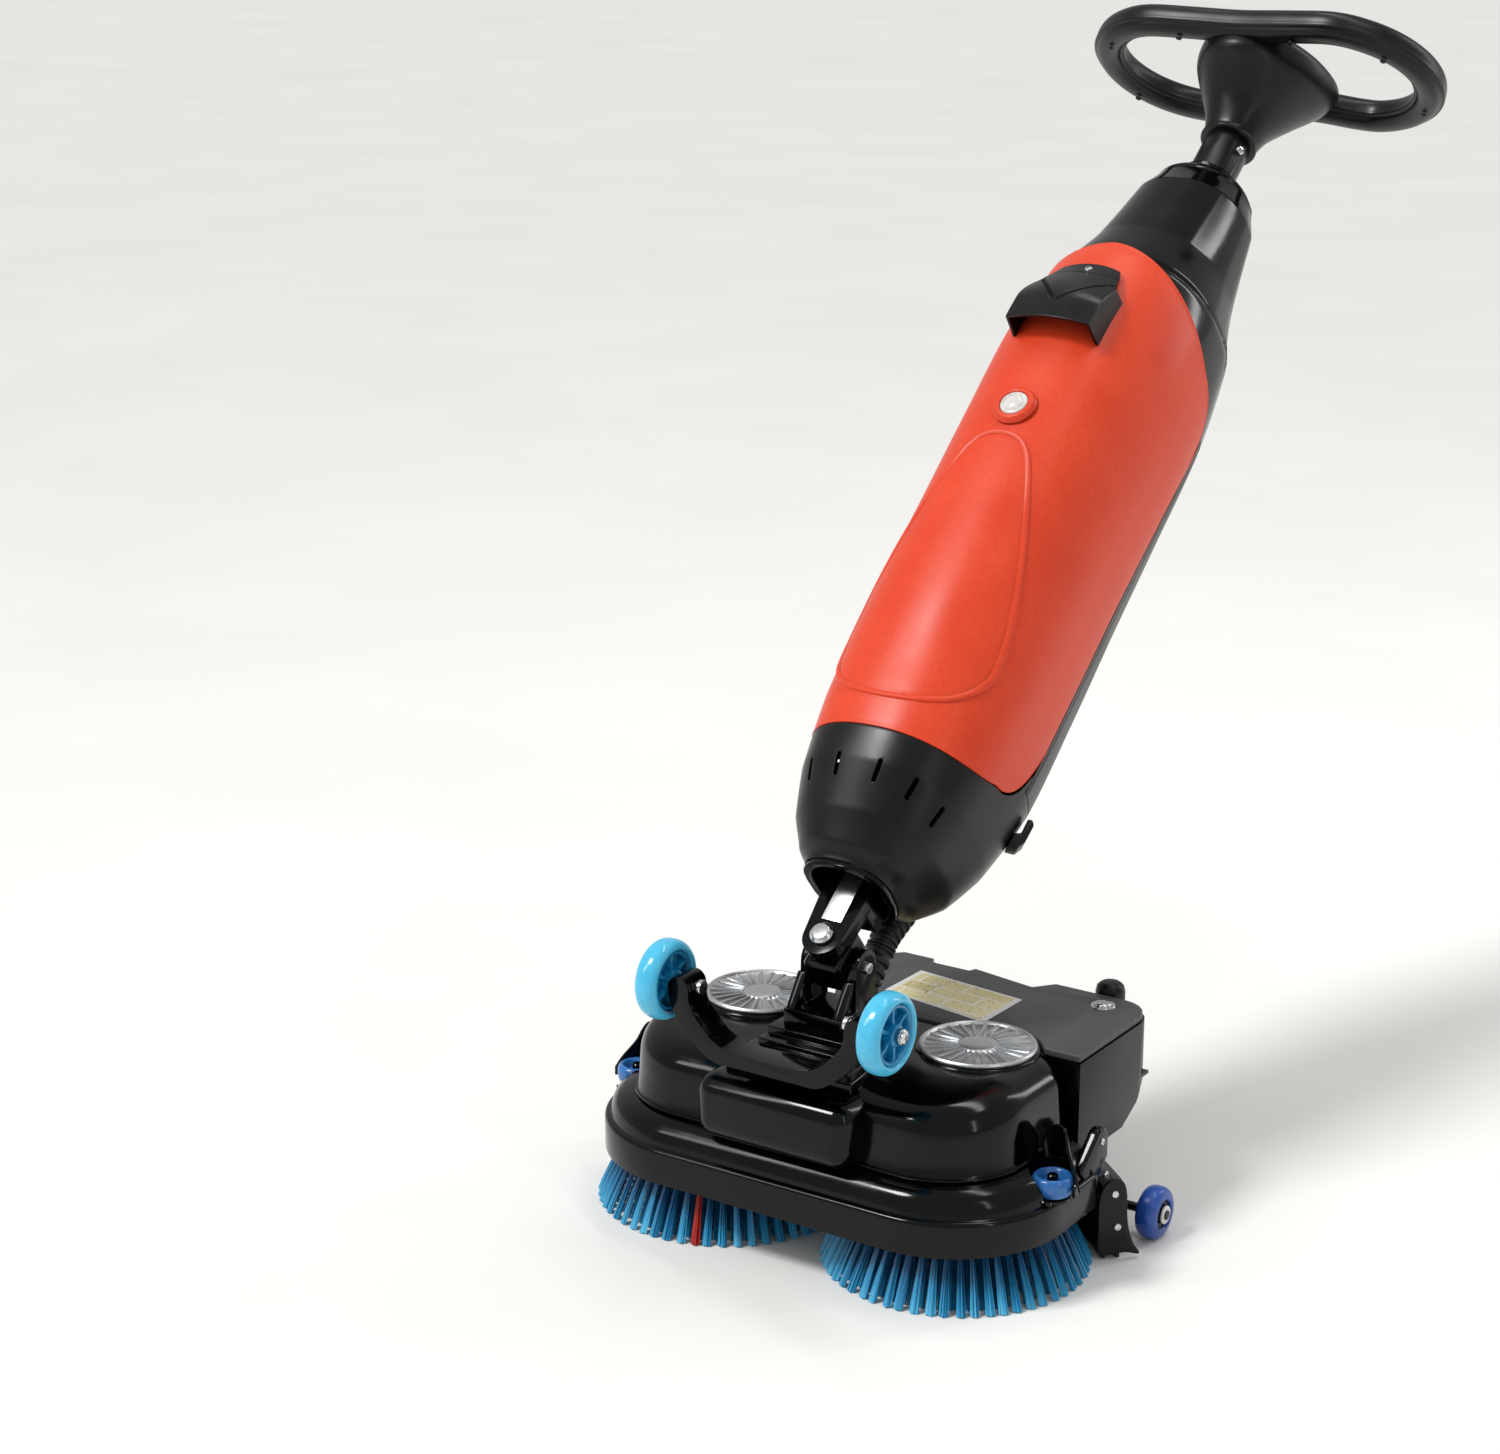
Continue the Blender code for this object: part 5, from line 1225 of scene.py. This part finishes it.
for row in (  # node, moving body, finish, edge in millimetres, segments, angle limit
    ("column_base_plate", "deck", "gloss_black_abs", 0.9),
    ("neck_column", "deck", "gloss_black_abs", 1.4),
    ("neck_yoke", "yoke", "gloss_black_abs", 0.8),
    ("neck_arm", "body", "gloss_black_abs", 1.6, 4),
    ("neck_ring", "body", "gloss_black_abs", 1.4, 4),
    ("arm_plate", "body", "brushed_channel_steel", 0.3),
    ("roll_pin", "yoke", "zinc_plated_steel", 0.7),
    ("pitch_pin", "deck", "zinc_plated_steel", 0.8),
    ("battery_box", "deck", "gloss_black_abs", 0.9, 3, 50),
    ("battery_lid", "lid", "dark_grey_abs", 1.0, 3, 40),
    ("adjuster_knob", "adjuster", "satin_black_abs", 0.8),
    ("squeegee_frame", "squeegee", "satin_black_abs", 1.0, 3, 40),
    ("squeegee_blade_front", "squeegee", "black_epdm_rubber", 0.4),
    ("squeegee_blade_rear", "squeegee", "black_epdm_rubber", 0.4),
    ("suction_port", "deck", "satin_black_abs", 0.6),
    ("handle_tube", "body", "satin_black_abs", 0.5),
    ("snap_button", "snap", "zinc_plated_steel", 1.2),
):
    softened(*row)

HIDDEN = {
    "deck_plate": "zinc_plated_steel", "gearbox_left": "blasted_cast_aluminium",
    "gearbox_right": "blasted_cast_aluminium",
    "motor_left": "zinc_plated_steel", "motor_right": "zinc_plated_steel", "battery_pack": "dark_grey_abs",
    "vacuum_motor": "zinc_plated_steel", "fan_wheel": "blasted_cast_aluminium",
    "control_board": "circuit_board_laminate",
    "water_pump": "zinc_plated_steel", "handle_stem": "zinc_plated_steel",
}
for node_name, finish_name in HIDDEN.items():
    inside = frame["nodes"][node_name]
    for material_slot in inside.material_slots:
        material_slot.material = FINISHES[finish_name][0]
print("castings and covers done")

# %% [markdown]
# A ribbed suction hose carries the dirty water from the deck up into the body. It bends where the neck
# bends, so it is made as two lengths, each laid between the two parts that it joins.


# %% The suction hose
def along_route(route, share):
    """A point on a smooth curve through the route's points."""
    last = len(route) - 1
    k = min(int(share * last), last - 1)
    a, b, c, d = (Vector(route[min(max(k + i, 0), last)]) for i in (-1, 0, 1, 2))
    f = share * last - k
    return curved(a, b, c, d, f)


def ribbed_hose(route, ribs, radius=0.0108, rib=0.0022):
    def place(u, v):
        ahead = along_route(route, min(1, v + 0.01)) - along_route(route, max(0, v - 0.01))
        side = Vector((1, 0, 0))
        up = ahead.normalized().cross(side)
        wave = 0.5 + 0.5 * cos(tau * ribs * v)
        r = radius + rib * smooth(0.35, 0.75, wave)
        return along_route(route, v) + r * (side * cos(tau * u) + up * sin(tau * u))
    return laid(place, 40, ribs * 12, closed=True)


LOW_ROUTE = [(0, 0.0365, 0.1884), (0, 0.0365, 0.196), (0, 0.041, 0.208), (0, 0.050, 0.218),
             (0, 0.0612, 0.2292)]
HIGH_ROUTE = [(0, 0.0612, 0.2292), (0, 0.070, 0.238), (0, 0.088, 0.247), (0, 0.108, 0.256), (0, 0.124, 0.272)]
for name, route, ribs, bodies in (("hose_lower", LOW_ROUTE, 6, ("deck", "yoke")),
                                  ("hose_upper", HIGH_ROUTE, 10, ("yoke", "body"))):
    hose = ribbed_hose(route, ribs)
    modifier(hose, "SOLIDIFY", thickness=0.0010, offset=-1)
    place_in(hose, DECK)
    only(hose)
    hose.name = name + "_ribbed"
    bpy.ops.object.shade_smooth_by_angle(angle=radians(60))
    hose.data.materials.clear()
    hose.data.materials.append(FINISHES["black_epdm_rubber"][0])
    start, end = (DECK @ Vector(route[0]), DECK @ Vector(route[-1]))
    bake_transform(hose)
    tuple(start)
    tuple(end)
    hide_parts(name)

# %% [markdown]
# Small things finish the deck: triangular webs that stiffen the neck column, bolts on the base plate, the
# lid's thumb screw with a coin slot, and its printed label.

# %% Deck fittings
for side, hand in ((-1, "left"), (1, "right")):
    web = slab([(-0.044, 0.2055), (-0.0300, 0.2055), (-0.0225, 0.2330), (-0.0262, 0.2330)], side * 0.0188,
               side * 0.0268, "X")
    modifier(web, "BEVEL", width=0.0010, segments=3)
    hand_over(place_in(web, DECK), f"column_web_{hand}", "deck", "gloss_black_abs")
    for i, y in enumerate((-0.0790, 0.0065)):
        z = 0.1795 if y < 0 else 0.190
        screw_at(f"base_bolt_{hand}_{i}", "deck", DECK, (side * 0.0325, y, z), (0, 0, 1), 0.0042)

screw_low, screw_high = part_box("thumb_screw")
screw_place = Vector(((screw_low.x + screw_high.x) / 2, (screw_low.y + screw_high.y) / 2, 0))
head = turned(((0.0076, 0.1699), (0.0076, 0.1732), (0.0070, 0.1742), (0.0056, 0.1749), (0.0030, 0.1752)),
              screw_place, steps=48)
coin = rounded_box((-0.0062, -0.0008, 0.1738), (0.0062, 0.0008, 0.1760), 0.0002, 1)
coin.data.transform(Matrix.Translation(screw_place) @ Matrix.Rotation(0.5, 4, "Z"))
cut(head, [coin])
bevelled(head, 0.0003, 2, 40)
hand_over(head, "thumb_screw_skin", "lid_screw", "zinc_plated_steel", ("thumb_screw",), 40)
washer = turned(((0.0080, 0.0), (0.0080, 0.0006), (0.0104, 0.0006), (0.0108, 0.0), (0.0080, 0.0)),
                (screw_place.x, screw_place.y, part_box("battery_lid")[1].z), steps=48)
hand_over(washer, "thumb_screw_washer", "lid", "zinc_plated_steel")

# %% [markdown]
# The label on the lid is a thin film with a cream print of plain blocks and lines. It says nothing: the
# pattern is drawn by a brick texture across the label's own width.

# %% The printed label
tree, shader = finish("printed_label_film", "dark_grey", 0.35, ior=1.46)
place = add(tree, "TexCoord").outputs["Object"]
flat = add(tree, "Mapping", {"Rotation": (0, 0, 0.05)}, Vector=place).outputs["Vector"]
settings = {"Scale": 1.0, "Mortar Size": 0.0009, "Brick Width": 0.046, "Row Height": 0.0190,
            "Color1": linear("E9DDA9"),
            "Color2": linear("CDBD7C"), "Mortar": linear("F3F1E8"), "Bias": -0.2}
blocks = add(tree, "TexBrick", settings, Vector=flat)
specks = add(tree, "TexNoise", {"Scale": 420.0, "Detail": 3.0}, Vector=flat)
dark = add(tree, "MapRange", {"From Min": 0.62, "From Max": 0.68}, Value=specks.outputs["Fac"])
ink = add(tree, "Mix", {"data_type": "RGBA"})
tree.links.new(ink.inputs["Factor"], dark.outputs["Result"])
tree.links.new(ink.inputs[6], blocks.outputs["Color"])
ink.inputs[7].default_value = linear("6F6A4E")
tree.links.new(shader.inputs["Base Color"], ink.outputs[2])
label_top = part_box("battery_lid")[1].z
BORDER_TOP, PRINT_TOP = label_top + 0.0003, label_top + 0.0005
corners = [(-0.024, 0.110), (0.085, 0.092), (0.087, 0.156), (-0.022, 0.168)]
moulded("white_label_border", "button_cap", "DAD8D2", "EFEDE8", 0.35, 0.04, 1.0, 0.004)
border = slab(corners, label_top, BORDER_TOP)
hand_over(place_in(border, DECK), "label_border", "lid", "white_label_border")
middle = Vector((sum(x for x, _ in corners) / 4, sum(y for _, y in corners) / 4))
inner = [tuple(middle + (Vector(corner) - middle) * 0.90) for corner in corners]
print_area = slab(inner, BORDER_TOP, PRINT_TOP)
hand_over(place_in(print_area, DECK), "label_print", "lid", "printed_label_film")

# %% [markdown]
# ## The handle
# The boss is one smooth bell: it starts round on the tube and spreads into a wide oval that carries both
# bars. The loop is a single closed bar of rounded section, with a small ledge and a fine bead along its
# inside and outside, where the two moulded halves meet.


# %% The handle boss
BOSS_RINGS = (  # height, half width, front, rear, rise to the rear, flare at the rear
    (0.9160, 0.0262, -0.0382, 0.0142, 0.00, 0.0), (0.9240, 0.0265, -0.0385, 0.0145, 0.00, 0.0),
    (0.9450, 0.0330, -0.0490, 0.0210, 0.08, 0.0), (0.9720, 0.0480, -0.0720, 0.0380, 0.20, 0.1),
    (0.9950, 0.0600, -0.0880, 0.0560, 0.32, 0.2), (1.0130, 0.0640, -0.0900, 0.0610, 0.32, 0.2),
    (1.0210, 0.0620, -0.0885, 0.0595, 0.32, 0.2), (1.0245, 0.0570, -0.0840, 0.0560, 0.32, 0.2),
)


def boss_place(u, v):
    last = len(BOSS_RINGS) - 1
    k = min(int(v * last), last - 1)
    a, b, c, d = (BOSS_RINGS[min(max(k + i, 0), last)] for i in (-1, 0, 1, 2))
    f = v * last - k
    height, half, front, rear, rise, flare = (
        curved(*values, f) for values in zip(a, b, c, d))
    middle, depth = (front + rear) / 2, (rear - front) / 2
    y = middle + depth * power(sin(tau * u), 0.9)
    return Vector((half * power(cos(tau * u), 0.9) * (1 + flare * sin(tau * u)), y,
                   height + rise * (y - middle)))


boss = capped(laid(boss_place, 96, 70, closed=True))
lip = turned(((0.0202, 0.9150), (0.0262, 0.9150), (0.0276, 0.9158), (0.0280, 0.9172), (0.0274, 0.9186),
              (0.0258, 0.9192),
              (0.0202, 0.9192), (0.0202, 0.9150)), (0, TUBE_Y, 0), steps=72)
cut(boss, [post(0.0200, 0.90, 0.96, 0, TUBE_Y)])
hand_over(place_in(join([boss, lip]), BODY), "handle_boss_skin", "handle", "satin_black_abs",
          ("handle_boss",), 45)

# %% The handle loop
LOOP_FRONT, LOOP_REAR = Vector((0, -0.092, 0.994)), Vector((0, 0.068, 1.045))
LOOP_HALF, END_RADIUS, BAR = 0.163, 0.084, 0.0158
plan = [(0, 0.03), (0.05, 0.014)]
plan += [(LOOP_HALF - END_RADIUS + END_RADIUS * cos(radians(a)), 0.5 + 0.5 * sin(radians(a)))
         for a in range(-80, 81, 20)]
plan += [(0.07, 0.985), (0.035, 0.93), (0, 0.90)]
plan += [(-x, share) for x, share in reversed(plan[1:-1])]
LOOP = [LOOP_FRONT.lerp(LOOP_REAR, share) + Vector((x, 0, 0)) for x, share in plan]
LOOP_UP = Vector((1, 0, 0)).cross(LOOP_REAR - LOOP_FRONT).normalized()


def loop_at(share):
    """A point of the loop's centre line, on a closed smooth curve through its plan."""
    count = len(LOOP)
    k = int(share * count) % count
    a, b, c, d = (LOOP[(k + i) % count] for i in (-1, 0, 1, 2))
    f = share * count - int(share * count)
    return curved(a, b, c, d, f)


def loop_place(u, v):
    ahead = (loop_at((v + 0.004) % 1) - loop_at((v - 0.004) % 1)).normalized()
    side = ahead.cross(LOOP_UP).normalized()
    a = tau * u - pi / 2
    below = smooth(radians(-14), radians(-21), a) + smooth(radians(194), radians(201), a)
    bead = max(0, 1 - abs(a - radians(-9)) / radians(6)) + max(0, 1 - abs(a - radians(189)) / radians(6))
    radius = 1 - 0.15 * below + 0.035 * bead
    outward, upward = side * BAR * 0.94 * power(cos(a), 0.80), LOOP_UP * BAR * power(sin(a), 0.80)
    return loop_at(v % 1) + radius * (outward + upward)


loop = laid(loop_place, 96, 240, closed=True)
hand_over(place_in(loop, BODY), "handle_loop_skin", "handle", "satin_black_abs", ("handle_loop",), 60)
for i, share in enumerate((0.045, 0.150, 0.290, 0.955, 0.850, 0.710)):
    spot = loop_at(share) - LOOP_UP * (BAR - 0.0006)
    screw_at(f"loop_screw_{i}", "handle", BODY, spot, -LOOP_UP, 0.0030, "satin_black_abs")
print("handle done")

# %% [markdown]
# ## Last things
# The rear of the bowl has a small pull tab, and the squeegee's end plates carry their bolts.

# %% Tab and bolts
TAB_OUT = Vector((0.858, 0.514, 0))
tab_root = skin_point(0.179, angle_at(0.179, 0.0825))
tab = slab([(-0.0020, -0.016), (0.0070, -0.014), (0.0105, -0.006), (0.0110, 0.012), (0.0080, 0.016),
            (0.0040, 0.015),
            (0.0040, 0.000), (-0.0020, -0.003)], -0.009, 0.009, "Y")
bevelled(tab, 0.0015, 4, 30)
tab.data.transform(Matrix.Translation(tab_root) @ Matrix.Rotation(atan2(TAB_OUT.y, TAB_OUT.x), 4, "Z"))
hand_over(place_in(tab, BODY), "bowl_tab", "body", "satin_black_abs")

ARC_CENTRE, ARC_R, ARC_END = Vector((0, -0.1445, 0)), 0.3095, radians(43.5)
cheek = [(-0.0120, 0.0560), (-0.0060, 0.0700), (0.0040, 0.0730), (0.0110, 0.0640), (0.0130, 0.0340),
         (0.0180, 0.0150),
         (0.0240, 0.0040), (0.0110, 0.0060), (-0.0100, 0.0060), (-0.0125, 0.0300)]
for side, hand in ((-1, "left"), (1, "right")):
    end_at = ARC_CENTRE + ARC_R * Vector((side * cos(ARC_END), sin(ARC_END), 0))
    radial = Vector((side * cos(ARC_END), sin(ARC_END), 0))
    away = Vector((side * sin(ARC_END), -cos(ARC_END), 0))
    plate = slab(eased(cheek, 4), 0.0006, 0.0040, "Y")
    bevelled(plate, 0.0010, 3, 60)
    turn = Matrix((radial, away, Vector((0, 0, 1)))).transposed().to_4x4()
    plate.data.transform(Matrix.Translation(end_at) @ turn)
    clean(plate)
    hand_over(place_in(plate, DECK), f"squeegee_cheek_{hand}", "squeegee", "satin_black_abs", (), 50)
    for i, (r, z) in enumerate(((0.001, 0.060), (0.004, 0.030))):
        screw_at(f"cheek_screw_{hand}_{i}", "squeegee", DECK,
                 end_at + radial * r + away * 0.0040 + Vector((0, 0, z)), away, 0.0032)
for side, hand in ((-1, "left"), (1, "right")):
    for i, (y, z) in enumerate(((0.096, 0.0600), (0.118, 0.0350))):
        screw_at(f"squeegee_bolt_{hand}_{i}", "squeegee", DECK, (side * 0.2035, y, z), (side, 0, 0), 0.0034)
    screw_at(f"pivot_bolt_{hand}", "deck", DECK, (side * 0.2145, 0.066, 0.104), (side, 0, 0), 0.0030)
